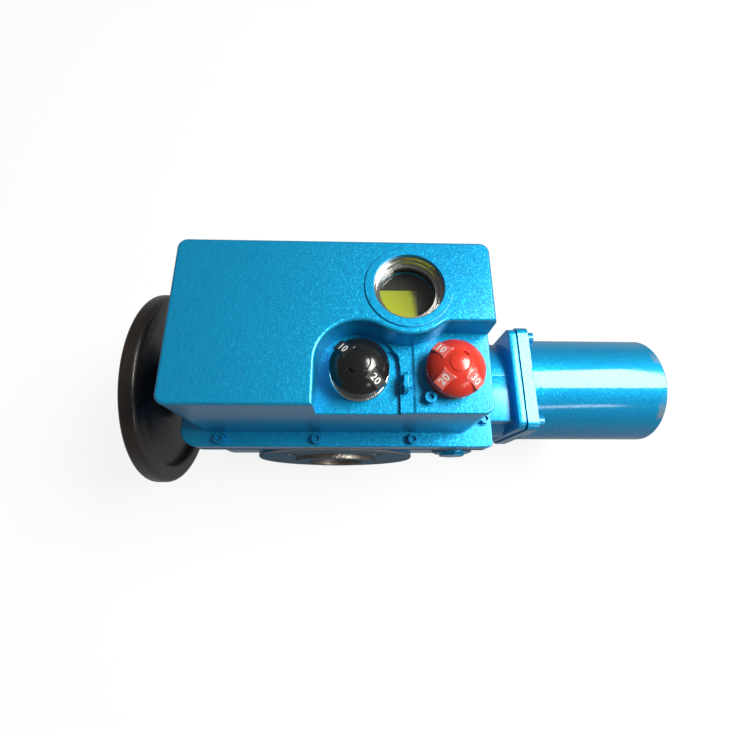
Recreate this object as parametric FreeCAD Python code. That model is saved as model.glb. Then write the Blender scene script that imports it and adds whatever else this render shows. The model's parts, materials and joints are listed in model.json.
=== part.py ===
import FreeCAD, Part
import math
import os

# Quarter-turn electric actuator, lying on the flat back of its gear case.
# The origin is the centre of the output mounting face, on the output axis.
# X runs along the worm to the motor, -Y out of the mounting face, +Z out of the control cover.
# Lengths are millimetres and angles are degrees.

# Control cover
COVER_LENGTH = 280.0
COVER_WIDTH = 152.0
COVER_LEFT_X = -136.0
COVER_FRONT_Y = 19.0
COVER_TOP_Z = 221.0
COVER_WALL = 6.0
COVER_CORNER = 9.0
COVER_EDGE = 3.0
COVER_DRAFT = 1.4
SPLIT_Z = 96.0
COVER_FLANGE = 12.0
FLANGE_LIP_LEFT = 18.0
FLANGE_LIP_RIGHT = 21.5
FLANGE_LIP_SIDE = 15.2
FLANGE_CORNER_LEFT = 19.0
FLANGE_CORNER_RIGHT = 6.0
FLANGE_EDGE = 1.5

# Cover screws, with their places along the flange
SCREW_RADIUS = 3.0
SCREW_HEAD_RADIUS = 5.0
SCREW_HEAD_HEIGHT = 6.0
SCREW_SOCKET = 5.0
SCREW_DEPTH = 11.0
WASHER_THICK = 1.6
WASHER_RADIUS = 6.2
SCREW_FIRST = 21.5
SCREW_LAST = 60.5
SCREW_INSET_RIGHT = 8.0
THREAD_SPARE = 1.0

# Control deck, the recess at the cover's front right
DECK_DROP = 28.0
STRIP_DROP = 1.0
POCKET_DROP = 4.5
RECESS_RADIUS = 37.0
RECESS_FILLET = 12.0
DECK_EDGE = 1.6
PANEL_WIDTH = 70.5
STRIP_WIDTH = 11.0
POCKET_BEHIND_KNOB = 20.0
POCKET_CORNER = 9.0
GROOVE_WIDTH = 4.5
GROOVE_DEPTH = 2.5
PANEL_BEVEL = 2.4
KNOB_INSET_Y = 37.0
RED_KNOB_INSET_X = 34.5
KNOB_SPACING = 83.0
DECK_SCREW_INSET_X = 56.2
DECK_SCREW_INSET_Y = 12.6
DECK_SCREW_LENGTH = 9.0

# Knobs and what they turn
KNOB_RADIUS = 26.0
KNOB_RIM = 6.0
KNOB_RISE = 14.0
KNOB_EDGE = 1.5
KNOB_CENTRE_RADIUS = 8.5
KNOB_CENTRE_RISE = 0.6
KNOB_PAD_START = 10.5
KNOB_PAD_END = 25.6
KNOB_PAD_INNER_HALF = 7.4
KNOB_PAD_OUTER_HALF = 5.3
KNOB_PAD_FLARE = 5.0
KNOB_PAD_RISE = 1.0
KNOB_PAD_LEAN = 30.0
KNOB_WALL = 3.0
KNOB_HUB_WALL = 5.0
KNOB_NOTCH_RADIUS = 9.4
KNOB_NOTCH_LENGTH = 1.4
KNOB_NOTCH_WIDTH = 5.0
KNOB_NOTCH_DEPTH = 3.5
BLACK_PAD_ANGLES = (135.0, 315.0)
BLACK_NOTCH_ANGLE = 225.0
RED_PAD_ANGLES = (135.0, 225.0, 315.0)
RED_NOTCH_ANGLE = 55.0
SEAT_RADIUS = 25.0
BLACK_SEAT_HEIGHT = 5.0
RED_SEAT_HEIGHT = 1.5
KNOB_SHAFT_RADIUS = 4.0
SWITCH_SIZE = 26.0
SWITCH_HEIGHT = 28.0
SWITCH_BORE_DEPTH = 12.0

# Padlock lug on the deck's strip
LUG_WIDTH = 18.0
LUG_HEIGHT = 12.0
LUG_THICK = 4.0
LUG_ROUND = 5.0
LUG_EDGE = 0.8
LUG_HOLE_RADIUS = 3.6
LUG_HOLE_HEIGHT = 7.0
LUG_INSET_Y = 25.5
LUG_FOOT_WIDTH = 6.0
LUG_FOOT_HEIGHT = 2.5

# Sight window
WINDOW_INSET_X = 74.5
WINDOW_INSET_Y = 45.7
WINDOW_RADIUS = 31.0
WINDOW_LIP = 7.9
WINDOW_LIP_RISE = 1.5
WINDOW_LIP_EDGE = 0.8
WINDOW_DEPTH = 26.0
LEDGE_THICK = 4.0
LEDGE_WIDTH = 5.0
GLASS_THICK = 6.0
GASKET_THICK = 1.5
RING_STEP = 2.0
RING_LEAN = 1.2
RING_TOP_GAP = 2.0

# Display under the window, placed from the window's centre
DISPLAY_LEFT = 39.5
DISPLAY_RIGHT = 42.5
DISPLAY_FRONT = 23.3
DISPLAY_BACK = 32.7
SCREEN_LEFT = 33.5
SCREEN_RIGHT = 11.5
SCREEN_FRONT = 21.3
SCREEN_BACK = 10.7
DISPLAY_CORNER = 3.0
DISPLAY_GAP = 3.0
SHROUD_THICK = 2.0
SCREEN_THICK = 2.9
SCREEN_SUNK = 0.6
MODULE_THICK = 10.0
DISPLAY_POST_RADIUS = 3.0
DISPLAY_POST_INSET = 4.0

# Electronics on their chassis plate
CHASSIS_LIFT = 6.0
CHASSIS_THICK = 2.0
CHASSIS_INSET = 12.0
PILLAR_RADIUS = 5.0
PILLAR_INSET = 8.0
BOARD_THICK = 1.6
BOARD_LIFT = 18.0
BOARD_LEFT_OF_KNOB = 19.0
BOARD_INSET = 14.0
POST_RADIUS = 3.5
POST_INSET = 6.0
TRANSFORMER_LENGTH = 54.0
TRANSFORMER_WIDTH = 50.0
TRANSFORMER_HEIGHT = 44.0
WINDING_OVERHANG = 8.0
WINDING_CORNER = 6.0
CONTACTOR_LENGTH = 44.0
CONTACTOR_HEIGHT = 40.0
CONTACTOR_GAP = 4.0
CONTACTOR_TOP = 22.0
TERMINAL_COUNT = 5
TERMINAL_LENGTH = 46.0
TERMINAL_HEIGHT = 16.0
TERMINAL_STEP = 12.0
TERMINAL_CUT = 6.0
PART_INSET = 6.0

# Output drive
FLANGE_RADIUS = 95.0
FLANGE_THICK = 22.0
DISC_EDGE = 2.0
SPIGOT_RADIUS = 50.0
SPIGOT_HEIGHT = 4.0
SPIGOT_BORE = 34.0
BOLT_CIRCLE = 140.0
BOLT_COUNT = 4
BOLT_HOLE_RADIUS = 7.0
BOLT_HOLE_DEPTH = 26.0
SLEEVE_RADIUS = 30.0
SLEEVE_SUNK = 1.0
DRIVE_BORE = 18.0
DRIVE_BORE_LENGTH = 90.0
KEYWAY_WIDTH = 10.0
KEYWAY_DEPTH = 3.3
BUSH_WALL = 6.0
LOWER_BUSH_LENGTH = 32.0
UPPER_BUSH_LENGTH = 30.0
SEAL_LENGTH = 8.0

# Worm gear
MODULE = 2.5
WHEEL_TEETH = 30
WORM_PITCH_RADIUS = 12.5
WORM_Y = 79.0
WHEEL_WIDTH = 22.0
WORM_LENGTH = 46.0
WORM_RELIEF = 2.0
PRESSURE_ANGLE = 20.0
TOOTH_CLEARANCE = 0.25
TOOTH_SINK = 0.4
BEARING_BORE = 12.5
BEARING_RADIUS = 26.0
BEARING_WIDTH = 15.0
BEARING_SHOULDER = 60.0
BEARING_STEP = 3.0
SHIELD_DEPTH = 1.0
CIRCLIP_THICK = 2.0
CIRCLIP_GRIP = 3.0
CIRCLIP_SINK = 2.0
SHAFT_RADIUS = 10.0
SHAFT_LAND = 10.0

# Gear case
CASE_HALF_WIDTH = 90.0
CASE_DEPTH = 95.0
CASE_CORNER = 14.0
CASE_EDGE = 4.0
CASE_LENGTH = 139.0
CASE_COVER_THICK = 12.0
CASE_COVER_RADIUS = 76.0
CASE_COVER_EDGE = 2.0
CASE_SCREW_CIRCLE = 62.0
CASE_SCREW_COUNT = 6
CASE_SCREW_GRIP = 14.0
CAVITY_RADIUS = 46.0
BLOCK_INSET_LEFT = 16.8
BLOCK_INSET_RIGHT = 16.3
BLOCK_INSET_FRONT = 4.0
BLOCK_BOTTOM_Z = 16.0
BLOCK_EDGE = 6.0
HOUSING_FLANGE = 14.0
TRAY_DEPTH = 8.0
BOSS_RADIUS = 38.0
BOSS_REACH = 11.2
BOSS_SCREW_CIRCLE = 32.0
BOSS_SCREW_RADIUS = 2.5
BOSS_SCREW_COUNT = 4
BOSS_SCREW_GRIP = 13.0
END_COVER_THICK = 6.0
END_COVER_SPIGOT = 12.0
SHAFT_SEAL_WALL = 6.0
SHAFT_SEAL_LENGTH = 10.0
PAD_HALF = 44.0
PAD_DEPTH = 12.0

# Blanked cable entry
ENTRY_INSET_X = 35.0
ENTRY_DROP = 31.0
ENTRY_RADIUS = 19.0
ENTRY_COLLAR = 3.0
ENTRY_PROUD = 4.0
ENTRY_THREAD = 16.0
ENTRY_DEPTH = 34.0
PLUG_RIM = 1.5
PLUG_HEAD = 3.0
PLUG_ACROSS = 24.7
PLUG_THREAD_LENGTH = 13.0
WIRE_WAY_HALF = 10.0

# Travel stops
STOP_Y = 100.0
STOP_SCREW_RADIUS = 6.0
STOP_SCREW_Z = -22.0
STOP_SCREW_PROUD = 16.0
STOP_NUT_ACROSS = 18.0
STOP_NUT_HEIGHT = 9.0
STOP_SOCKET = 6.0
STOP_SOCKET_DEPTH = 6.0
STOP_GAP = 0.5
STOP_RING = 38.0
STOP_LUG = 45.0
STOP_LUG_HALF = 7.0
STOP_WIDTH = 14.0
STOP_SWEEP = 90.0

# Motor adapter and motor
ADAPTER_RISE = 0.7
ADAPTER_NECK = 9.0
ADAPTER_LENGTH = 29.0
ADAPTER_PLATE = 9.0
ADAPTER_BASE = 10.0
ADAPTER_HALF = 58.0
ADAPTER_SCREW_HALF = 26.5
ADAPTER_SCREW_GRIP = 13.0
NECK_RADIUS = 47.0
NECK_WALL = 2.0
MOTOR_GASKET = 0.5
MOTOR_PLATE = 12.0
MOTOR_HALF = 59.5
PLATE_CORNER = 9.0
PLATE_BOLT_HALF = 48.5
PLATE_BOLT_RADIUS = 4.0
PLATE_BOLT_FALL_SHORT = 1.0
MOTOR_LENGTH = 148.5
MOTOR_RADIUS = 60.2
MOTOR_WALL = 6.0
MOTOR_EDGE = 1.5
MOTOR_FRONT_WALL = 8.0
STATOR_LENGTH = 76.0
STATOR_OFFSET = 32.5
WINDING_LENGTH = 12.0
WINDING_GAP = 6.0
AIR_GAP = 0.5
ROTOR_RADIUS = 32.0
COUPLING_OFFSET = 13.0
COUPLING_HALF = 20.0
COUPLING_WALL = 8.0
MOTOR_BEARING_RADIUS = 23.5
MOTOR_BEARING_WIDTH = 14.0
MOTOR_FRONT_BEARING = 12.0
FRONT_BEARING_SET = 5.0
CAP_SUNK = 12.0
CAP_THICK = 8.0
CAP_SCREWS = 42.0
CAP_SCREW_COUNT = 4

# Handwheel
WHEEL_RADIUS = 110.0
WHEEL_REACH = 35.0
RIM_WIDTH = 18.0
RIM_DEPTH = 18.0
RIM_ROUND = 5.0
RIM_INNER_ROUND = 2.5
WEB_THICK = 6.0
WEB_SET = 4.0
HUB_SET = 10.0
HUB_RADIUS = 24.0
HUB_LENGTH = 17.0
HUB_FLARE = 5.0
WHEEL_WASHER = 2.0
WHEEL_WASHER_WALL = 5.0
WHEEL_NUT = 7.0
WHEEL_NUT_ACROSS = 24.0
THREAD_STEP = 2.0

# Fits
FIT = 0.05
CONTACT = 0.02
SEAT = 0.3
OVER = 1.0
FAR = 20.0

X_AXIS = FreeCAD.Vector(1, 0, 0)
Y_AXIS = FreeCAD.Vector(0, 1, 0)
Z_AXIS = FreeCAD.Vector(0, 0, 1)
ORIGIN = FreeCAD.Vector(0, 0, 0)

# Worked out from the values above
WHEEL_PITCH_RADIUS = MODULE * WHEEL_TEETH / 2
WORM_Z = WHEEL_PITCH_RADIUS + WORM_PITCH_RADIUS
WORM_LEAD = math.pi * MODULE
WORM_ROOT = WORM_PITCH_RADIUS - 1.25 * MODULE
COVER_RIGHT_X = COVER_LEFT_X + COVER_LENGTH
COVER_BACK_Y = COVER_FRONT_Y + COVER_WIDTH
FLANGE_TOP_Z = SPLIT_Z + COVER_FLANGE
DRAFT_OUT = (COVER_TOP_Z - FLANGE_TOP_Z) * math.tan(math.radians(COVER_DRAFT))
FLANGE_LEFT_X = COVER_LEFT_X - DRAFT_OUT - FLANGE_LIP_LEFT
FLANGE_RIGHT_X = COVER_RIGHT_X + DRAFT_OUT + FLANGE_LIP_RIGHT
FLANGE_FRONT_Y = COVER_FRONT_Y - DRAFT_OUT - FLANGE_LIP_SIDE
FLANGE_BACK_Y = COVER_BACK_Y + DRAFT_OUT + FLANGE_LIP_SIDE
FLANGE_CORNERS = (FLANGE_CORNER_LEFT, FLANGE_CORNER_RIGHT, FLANGE_CORNER_RIGHT, FLANGE_CORNER_LEFT)
PANEL_Z = COVER_TOP_Z - DECK_DROP
STRIP_Z = PANEL_Z - STRIP_DROP
POCKET_Z = PANEL_Z - POCKET_DROP
DECK_UNDER_Z = POCKET_Z - COVER_WALL
PANEL_LEFT_X = COVER_RIGHT_X - PANEL_WIDTH
POCKET_RIGHT_X = PANEL_LEFT_X - STRIP_WIDTH
KNOB_Y = COVER_FRONT_Y + KNOB_INSET_Y
RED_KNOB_X = COVER_RIGHT_X - RED_KNOB_INSET_X
BLACK_KNOB_X = RED_KNOB_X - KNOB_SPACING
BLACK_KNOB_Z = POCKET_Z + BLACK_SEAT_HEIGHT + SEAT
RED_KNOB_Z = PANEL_Z + RED_SEAT_HEIGHT + SEAT
WINDOW_X = COVER_RIGHT_X - WINDOW_INSET_X
WINDOW_Y = COVER_BACK_Y - WINDOW_INSET_Y
WINDOW_BASE_Z = COVER_TOP_Z - WINDOW_DEPTH
GLASS_Z = WINDOW_BASE_Z + LEDGE_THICK + GASKET_THICK
LEDGE_RADIUS = WINDOW_RADIUS - LEDGE_WIDTH
SHROUD_Z = WINDOW_BASE_Z - DISPLAY_GAP
TRAY_Z = SPLIT_Z - TRAY_DEPTH
CHASSIS_Z = SPLIT_Z + CHASSIS_LIFT
CONTROL_BOARD_Z = CHASSIS_Z + BOARD_LIFT
BOARD_TOP_Z = CONTROL_BOARD_Z + BOARD_THICK
BLOCK_FRONT_Y = FLANGE_FRONT_Y + BLOCK_INSET_FRONT
BLOCK_LEFT_X = FLANGE_LEFT_X + BLOCK_INSET_LEFT
BLOCK_RIGHT_X = FLANGE_RIGHT_X - BLOCK_INSET_RIGHT
CASE_FRONT_Y = FLANGE_THICK / 2
CASE_END_Y = CASE_FRONT_Y + CASE_LENGTH
LOWER_BUSH_Y = SEAL_LENGTH + SPIGOT_HEIGHT
UPPER_BUSH_Y = CASE_END_Y - BUSH_WALL - UPPER_BUSH_LENGTH
SLEEVE_END_Y = CASE_END_Y - BUSH_WALL
BOSS_END_X = FLANGE_LEFT_X - BOSS_REACH
END_COVER_X = BOSS_END_X - END_COVER_THICK
RIM_LEFT_X = BOSS_END_X - WHEEL_REACH
HUB_LEFT_X = RIM_LEFT_X + HUB_SET
ENTRY_X = FLANGE_RIGHT_X - ENTRY_INSET_X
ENTRY_Z = SPLIT_Z - ENTRY_DROP
ENTRY_FACE_Y = BLOCK_FRONT_Y - ENTRY_PROUD
ADAPTER_FACE_X = FLANGE_RIGHT_X + ADAPTER_RISE
ADAPTER_FLARE_X = ADAPTER_FACE_X + ADAPTER_NECK
ADAPTER_PLATE_X = ADAPTER_FACE_X + ADAPTER_LENGTH
PLATE_JOINT_X = ADAPTER_PLATE_X + ADAPTER_PLATE
MOTOR_PLATE_X = PLATE_JOINT_X + MOTOR_GASKET
MOTOR_FACE_X = MOTOR_PLATE_X + MOTOR_PLATE
MOTOR_END_X = MOTOR_FACE_X + MOTOR_LENGTH
MOTOR_BORE = MOTOR_RADIUS - MOTOR_WALL
COUPLING_X = ADAPTER_FACE_X + COUPLING_OFFSET
STATOR_X = MOTOR_FACE_X + STATOR_OFFSET
CAP_X = MOTOR_END_X - CAP_SUNK


def vec(x, y, z):
    """A point."""
    return FreeCAD.Vector(x, y, z)


def block(x0, x1, y0, y1, z0, z1):
    """A box between two corners."""
    return Part.makeBox(x1 - x0, y1 - y0, z1 - z0, vec(x0, y0, z0))


def rod(start, axis, radius, length):
    """A cylinder from a start point along an axis."""
    return Part.makeCylinder(radius, length, start, axis)


def tube(start, axis, outer, inner, length):
    """A cylinder with a bore."""
    return rod(start, axis, outer, length).cut(rod(start, axis, inner, length))


def worm_rod(x0, x1, radius):
    """A cylinder about the worm axis."""
    return rod(vec(x0, WORM_Y, WORM_Z), X_AXIS, radius, x1 - x0)


def worm_tube(x0, x1, outer, inner):
    """A ring about the worm axis."""
    return tube(vec(x0, WORM_Y, WORM_Z), X_AXIS, outer, inner, x1 - x0)


def output_rod(y0, y1, radius):
    """A cylinder about the output axis."""
    return rod(vec(0, y0, 0), Y_AXIS, radius, y1 - y0)


def output_tube(y0, y1, outer, inner):
    """A ring about the output axis."""
    return tube(vec(0, y0, 0), Y_AXIS, outer, inner, y1 - y0)


def upright(x, y, z0, z1, radius):
    """A cylinder along Z."""
    return rod(vec(x, y, z0), Z_AXIS, radius, z1 - z0)


def upright_tube(x, y, z0, z1, outer, inner):
    """A ring along Z."""
    return tube(vec(x, y, z0), Z_AXIS, outer, inner, z1 - z0)


def six_flats(start, axis, across, length):
    """A hexagonal prism along an axis."""
    side = X_AXIS if abs(axis.z) > 0.5 else Z_AXIS
    other = axis.cross(side)
    corner = across / math.sqrt(3)
    points = []
    for step in range(7):
        angle = math.radians(60 * step)
        points.append(start + side * (corner * math.cos(angle)) + other * (corner * math.sin(angle)))
    return Part.Face(Part.makePolygon(points)).extrude(axis * length)


def arc(centre, radius, start, end, z):
    """An arc in a level plane between two angles."""
    points = []
    for angle in (start, (start + end) / 2, end):
        turn = math.radians(angle)
        points.append(vec(centre[0] + radius * math.cos(turn), centre[1] + radius * math.sin(turn), z))
    return Part.Arc(*points).toShape()


def line(start, end, z):
    """A straight edge in a level plane."""
    return Part.LineSegment(vec(start[0], start[1], z), vec(end[0], end[1], z)).toShape()


def round_outline(x0, x1, y0, y1, radii, z):
    """A rectangle with a radius at front left, front right, back right and back left."""
    centres = [
        (x0 + radii[0], y0 + radii[0]),
        (x1 - radii[1], y0 + radii[1]),
        (x1 - radii[2], y1 - radii[2]),
        (x0 + radii[3], y1 - radii[3]),
    ]
    sides = [
        ((x0 + radii[0], y0), (x1 - radii[1], y0)),
        ((x1, y0 + radii[1]), (x1, y1 - radii[2])),
        ((x1 - radii[2], y1), (x0 + radii[3], y1)),
        ((x0, y1 - radii[3]), (x0, y0 + radii[0])),
    ]
    edges = []
    for index in range(4):
        first = 180 + 90 * index
        edges.append(arc(centres[index], radii[index], first, first + 90, z))
        edges.append(line(*sides[index], z))
    return Part.Wire(edges)


def round_plate(x0, x1, y0, y1, radii, z0, z1):
    """A level plate with rounded corners."""
    face = Part.Face(round_outline(x0, x1, y0, y1, radii, z0))
    return face.extrude(vec(0, 0, z1 - z0))


def square_outline(x, half, corner):
    """A rounded square across the worm axis."""
    wire = round_outline(-half, half, -half, half, (corner,) * 4, 0)
    wire.rotate(ORIGIN, Y_AXIS, 90)
    wire.translate(vec(x, WORM_Y, WORM_Z))
    return wire


def side_plate(x0, x1, half, corner):
    """A square plate across the worm axis with rounded corners."""
    return Part.Face(square_outline(x0, half, corner)).extrude(vec(x1 - x0, 0, 0))


def revolve(profile, centre, axis, side):
    """A turned solid from (distance along, radius) pairs."""
    points = [centre + axis * along + side * radius for along, radius in profile]
    points.append(points[0])
    return Part.Face(Part.makePolygon(points)).revolve(centre, axis, 360)


def edges_at(shape, axis, place):
    """The edges of a shape that lie flat across X, Y or Z at a place."""
    found = []
    for edge in shape.Edges:
        box = edge.BoundBox
        low, high = {"x": (box.XMin, box.XMax), "y": (box.YMin, box.YMax), "z": (box.ZMin, box.ZMax)}[axis]
        if abs(low - place) < 0.01 and abs(high - place) < 0.01:
            found.append(edge)
    return found


def soften(shape, radius, axis, *places):
    """Round the flat edges of a shape at the given places."""
    for place in places:
        shape = shape.makeFillet(radius, edges_at(shape, axis, place))
    return shape


def group(solids):
    """Like pieces that share a node."""
    return Part.makeCompound(solids)


def around(radius, angle, y):
    """A point about the output axis."""
    turn = math.radians(angle)
    return vec(radius * math.cos(turn), y, radius * math.sin(turn))


def ring_places(radius, count):
    """Places spread evenly on a circle, straddling its centre lines."""
    places = []
    for step in range(count):
        turn = 2 * math.pi / count * (step + 0.5)
        places.append((radius * math.cos(turn), radius * math.sin(turn)))
    return places


def worm_places(radius, count):
    """The same places about the worm axis."""
    return [(WORM_Y + y, WORM_Z + z) for y, z in ring_places(radius, count)]


def square_places(half):
    """The corners of a square about the worm axis."""
    return [(WORM_Y + y, WORM_Z + z) for y in (-half, half) for z in (-half, half)]


def bolt_angles():
    """The mounting bolts' angles, straddling the centre lines."""
    return [360.0 / BOLT_COUNT * (step + 0.5) for step in range(BOLT_COUNT)]


def screw_places():
    """Where the cover screws stand on the flange."""
    front = (FLANGE_FRONT_Y + COVER_FRONT_Y - DRAFT_OUT) / 2
    back = (FLANGE_BACK_Y + COVER_BACK_Y + DRAFT_OUT) / 2
    left = (FLANGE_LEFT_X + COVER_LEFT_X - DRAFT_OUT) / 2
    right = FLANGE_RIGHT_X - SCREW_INSET_RIGHT
    first = COVER_LEFT_X + SCREW_FIRST
    last = COVER_RIGHT_X - SCREW_LAST
    places = []
    for x in (first, (first + last) / 2, last):
        places.append((x, front))
        places.append((x, back))
    places.append((left, (COVER_FRONT_Y + COVER_BACK_Y) / 2))
    places.append((right, front + FLANGE_LIP_RIGHT))
    places.append((right, back - FLANGE_LIP_RIGHT))
    return places


def deck_screw_place():
    """Where the small screw stands on the deck's panel."""
    return COVER_RIGHT_X - DECK_SCREW_INSET_X, COVER_FRONT_Y + DECK_SCREW_INSET_Y


def cover_outline(inset, z):
    """The cover's drafted outline at a height, moved in by an inset."""
    grow = (COVER_TOP_Z - z) * math.tan(math.radians(COVER_DRAFT)) - inset
    corner = max(COVER_CORNER + grow, 1.0)
    return round_outline(COVER_LEFT_X - grow, COVER_RIGHT_X + grow, COVER_FRONT_Y - grow,
                         COVER_BACK_Y + grow, (corner,) * 4, z)


def drafted(inset, z0, z1):
    """The cover's drafted form between two heights."""
    return Part.makeLoft([cover_outline(inset, z0), cover_outline(inset, z1)], True, True)


def recess(grow, z):
    """The control deck's recess from a height up, its outline an S-curve round knob and window."""
    knob = (BLACK_KNOB_X, KNOB_Y)
    window = (WINDOW_X, WINDOW_Y)
    first = RECESS_RADIUS + grow
    second = math.hypot(window[0] - knob[0], window[1] - knob[1]) - first
    toward = math.degrees(math.atan2(window[1] - knob[1], window[0] - knob[0]))
    back = KNOB_Y + first
    third = RECESS_FILLET - grow / 2
    drop = window[1] - (back - third)
    across = math.sqrt((second + third) ** 2 - drop ** 2)
    fillet = (window[0] + across, back - third)
    leave = math.degrees(math.atan2(-drop, across))
    front = FLANGE_FRONT_Y - FAR
    right = FLANGE_RIGHT_X + FAR
    left = knob[0] - first
    edges = [
        line((left, front), (left, KNOB_Y), z),
        arc(knob, first, 180, toward, z),
        arc(window, second, 180 + toward, 360 + leave, z),
        arc(fillet, third, 180 + leave, 90, z),
        line((fillet[0], back), (right, back), z),
        line((right, back), (right, front), z),
        line((right, front), (left, front), z),
    ]
    return Part.Face(Part.Wire(edges)).extrude(vec(0, 0, COVER_TOP_Z + FAR - z))


def deck_level(z, cuts):
    """The casting up to one level of the deck, with rounded upper edges."""
    level = soften(drafted(0, FLANGE_TOP_Z - OVER, z), DECK_EDGE, "z", z)
    return level.cut(cuts) if cuts else level


def make_deck():
    """The deck's three levels: the knob pocket, the narrow strip and the right-hand panel."""
    corners = (1.0, 1.0, POCKET_CORNER, 1.0)
    far_left = FLANGE_LEFT_X - FAR
    far_front = FLANGE_FRONT_Y - FAR
    low = FLANGE_TOP_Z - FAR
    back = KNOB_Y + POCKET_BEHIND_KNOB
    pocket = round_plate(far_left, POCKET_RIGHT_X, far_front, back, corners, low, COVER_TOP_Z)
    pocket = pocket.fuse(upright(BLACK_KNOB_X, KNOB_Y, low, COVER_TOP_Z, RECESS_RADIUS))
    beside = round_plate(far_left, PANEL_LEFT_X, far_front, FLANGE_BACK_Y, corners, low, COVER_TOP_Z)
    slope = [vec(PANEL_LEFT_X, far_front, STRIP_Z), vec(PANEL_LEFT_X + PANEL_BEVEL, far_front, PANEL_Z),
             vec(PANEL_LEFT_X, far_front, PANEL_Z)]
    slope.append(slope[0])
    bevel = Part.Face(Part.makePolygon(slope)).extrude(vec(0, FLANGE_BACK_Y - far_front, 0))
    levels = [deck_level(STRIP_Z, pocket), deck_level(PANEL_Z, beside.fuse(bevel))]
    groove_low = POCKET_Z - GROOVE_DEPTH
    lug_front = COVER_FRONT_Y + LUG_INSET_Y - LUG_WIDTH / 2
    groove = round_plate(BLACK_KNOB_X, POCKET_RIGHT_X, lug_front, back, corners, groove_low, PANEL_Z)
    floor = round_plate(far_left, POCKET_RIGHT_X - GROOVE_WIDTH, far_front, back - GROOVE_WIDTH, corners,
                        groove_low, PANEL_Z)
    knob_floor = upright(BLACK_KNOB_X, KNOB_Y, groove_low, PANEL_Z, KNOB_RADIUS + GROOVE_WIDTH)
    return deck_level(POCKET_Z, None).fuse(levels).cut(groove.cut([floor, knob_floor]))


def make_cover():
    """The cast cover: a drafted shell with the deck recess, the window boss and its flange."""
    body = drafted(0, FLANGE_TOP_Z - OVER, COVER_TOP_Z).cut(recess(0, FLANGE_TOP_Z - FAR))
    body = soften(body, COVER_EDGE, "z", COVER_TOP_Z)
    lip = upright_tube(WINDOW_X, WINDOW_Y, COVER_TOP_Z - OVER, COVER_TOP_Z + WINDOW_LIP_RISE,
                       WINDOW_RADIUS + WINDOW_LIP, WINDOW_RADIUS)
    lip = soften(lip, WINDOW_LIP_EDGE, "z", COVER_TOP_Z + WINDOW_LIP_RISE)
    flange = round_plate(FLANGE_LEFT_X, FLANGE_RIGHT_X, FLANGE_FRONT_Y, FLANGE_BACK_Y, FLANGE_CORNERS,
                         SPLIT_Z, FLANGE_TOP_Z)
    flange = soften(flange, FLANGE_EDGE, "z", FLANGE_TOP_Z)
    body = body.fuse([make_deck(), lip, flange]).removeSplitter()
    inside = drafted(COVER_WALL, SPLIT_Z - OVER, COVER_TOP_Z - COVER_WALL)
    inside = inside.cut(recess(COVER_WALL, DECK_UNDER_Z))
    inside = inside.cut(upright(WINDOW_X, WINDOW_Y, WINDOW_BASE_Z, COVER_TOP_Z, WINDOW_RADIUS + COVER_WALL))
    cuts = [
        inside,
        upright(WINDOW_X, WINDOW_Y, WINDOW_BASE_Z + LEDGE_THICK, COVER_TOP_Z + FAR, WINDOW_RADIUS),
        upright(WINDOW_X, WINDOW_Y, WINDOW_BASE_Z - OVER, COVER_TOP_Z, LEDGE_RADIUS),
    ]
    for x in (BLACK_KNOB_X, RED_KNOB_X):
        cuts.append(upright(x, KNOB_Y, DECK_UNDER_Z - OVER, COVER_TOP_Z, KNOB_SHAFT_RADIUS + FIT))
    for x, y in screw_places():
        cuts.append(upright(x, y, SPLIT_Z - OVER, FLANGE_TOP_Z + OVER, SCREW_RADIUS + SEAT))
    x, y = deck_screw_place()
    cuts.append(upright(x, y, PANEL_Z - DECK_SCREW_LENGTH, PANEL_Z + OVER, SCREW_RADIUS))
    return body.cut(cuts)


def socket_screw(base, axis, length, radius):
    """A socket head screw whose head stands on a face, with its shank going the other way."""
    scale = radius / SCREW_RADIUS
    height = SCREW_HEAD_HEIGHT * scale
    screw = rod(base, axis, SCREW_HEAD_RADIUS * scale, height)
    screw = screw.fuse(rod(base - axis * length, axis, radius, length))
    return screw.cut(six_flats(base + axis * (height / 2), axis, SCREW_SOCKET * scale, height))


def make_cover_screws():
    """Cover screws and the deck's screw, which is the same but shorter."""
    screws = []
    for x, y in screw_places():
        base = vec(x, y, FLANGE_TOP_Z + WASHER_THICK)
        screws.append(socket_screw(base, Z_AXIS, COVER_FLANGE + WASHER_THICK + SCREW_DEPTH, SCREW_RADIUS))
    x, y = deck_screw_place()
    screws.append(socket_screw(vec(x, y, PANEL_Z + WASHER_THICK), Z_AXIS,
                               DECK_SCREW_LENGTH - THREAD_SPARE + WASHER_THICK, SCREW_RADIUS))
    return group(screws)


def make_cover_washers():
    """A washer under each of those screws."""
    places = [(x, y, FLANGE_TOP_Z) for x, y in screw_places()]
    places.append((*deck_screw_place(), PANEL_Z))
    washers = []
    for x, y, z in places:
        washers.append(upright_tube(x, y, z, z + WASHER_THICK, WASHER_RADIUS, SCREW_RADIUS + FIT))
    return group(washers)


def gear_case():
    """The square gear case about the output axis, under the worm block."""
    top = SPLIT_Z - HOUSING_FLANGE / 2
    case = round_plate(-CASE_HALF_WIDTH, CASE_HALF_WIDTH, -CASE_DEPTH, top, (CASE_CORNER,) * 4,
                       0, CASE_LENGTH)
    case = soften(case, CASE_EDGE, "z", 0, CASE_LENGTH)
    case.rotate(ORIGIN, X_AXIS, 90)
    case.translate(vec(0, CASE_END_Y, 0))
    return case


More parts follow.
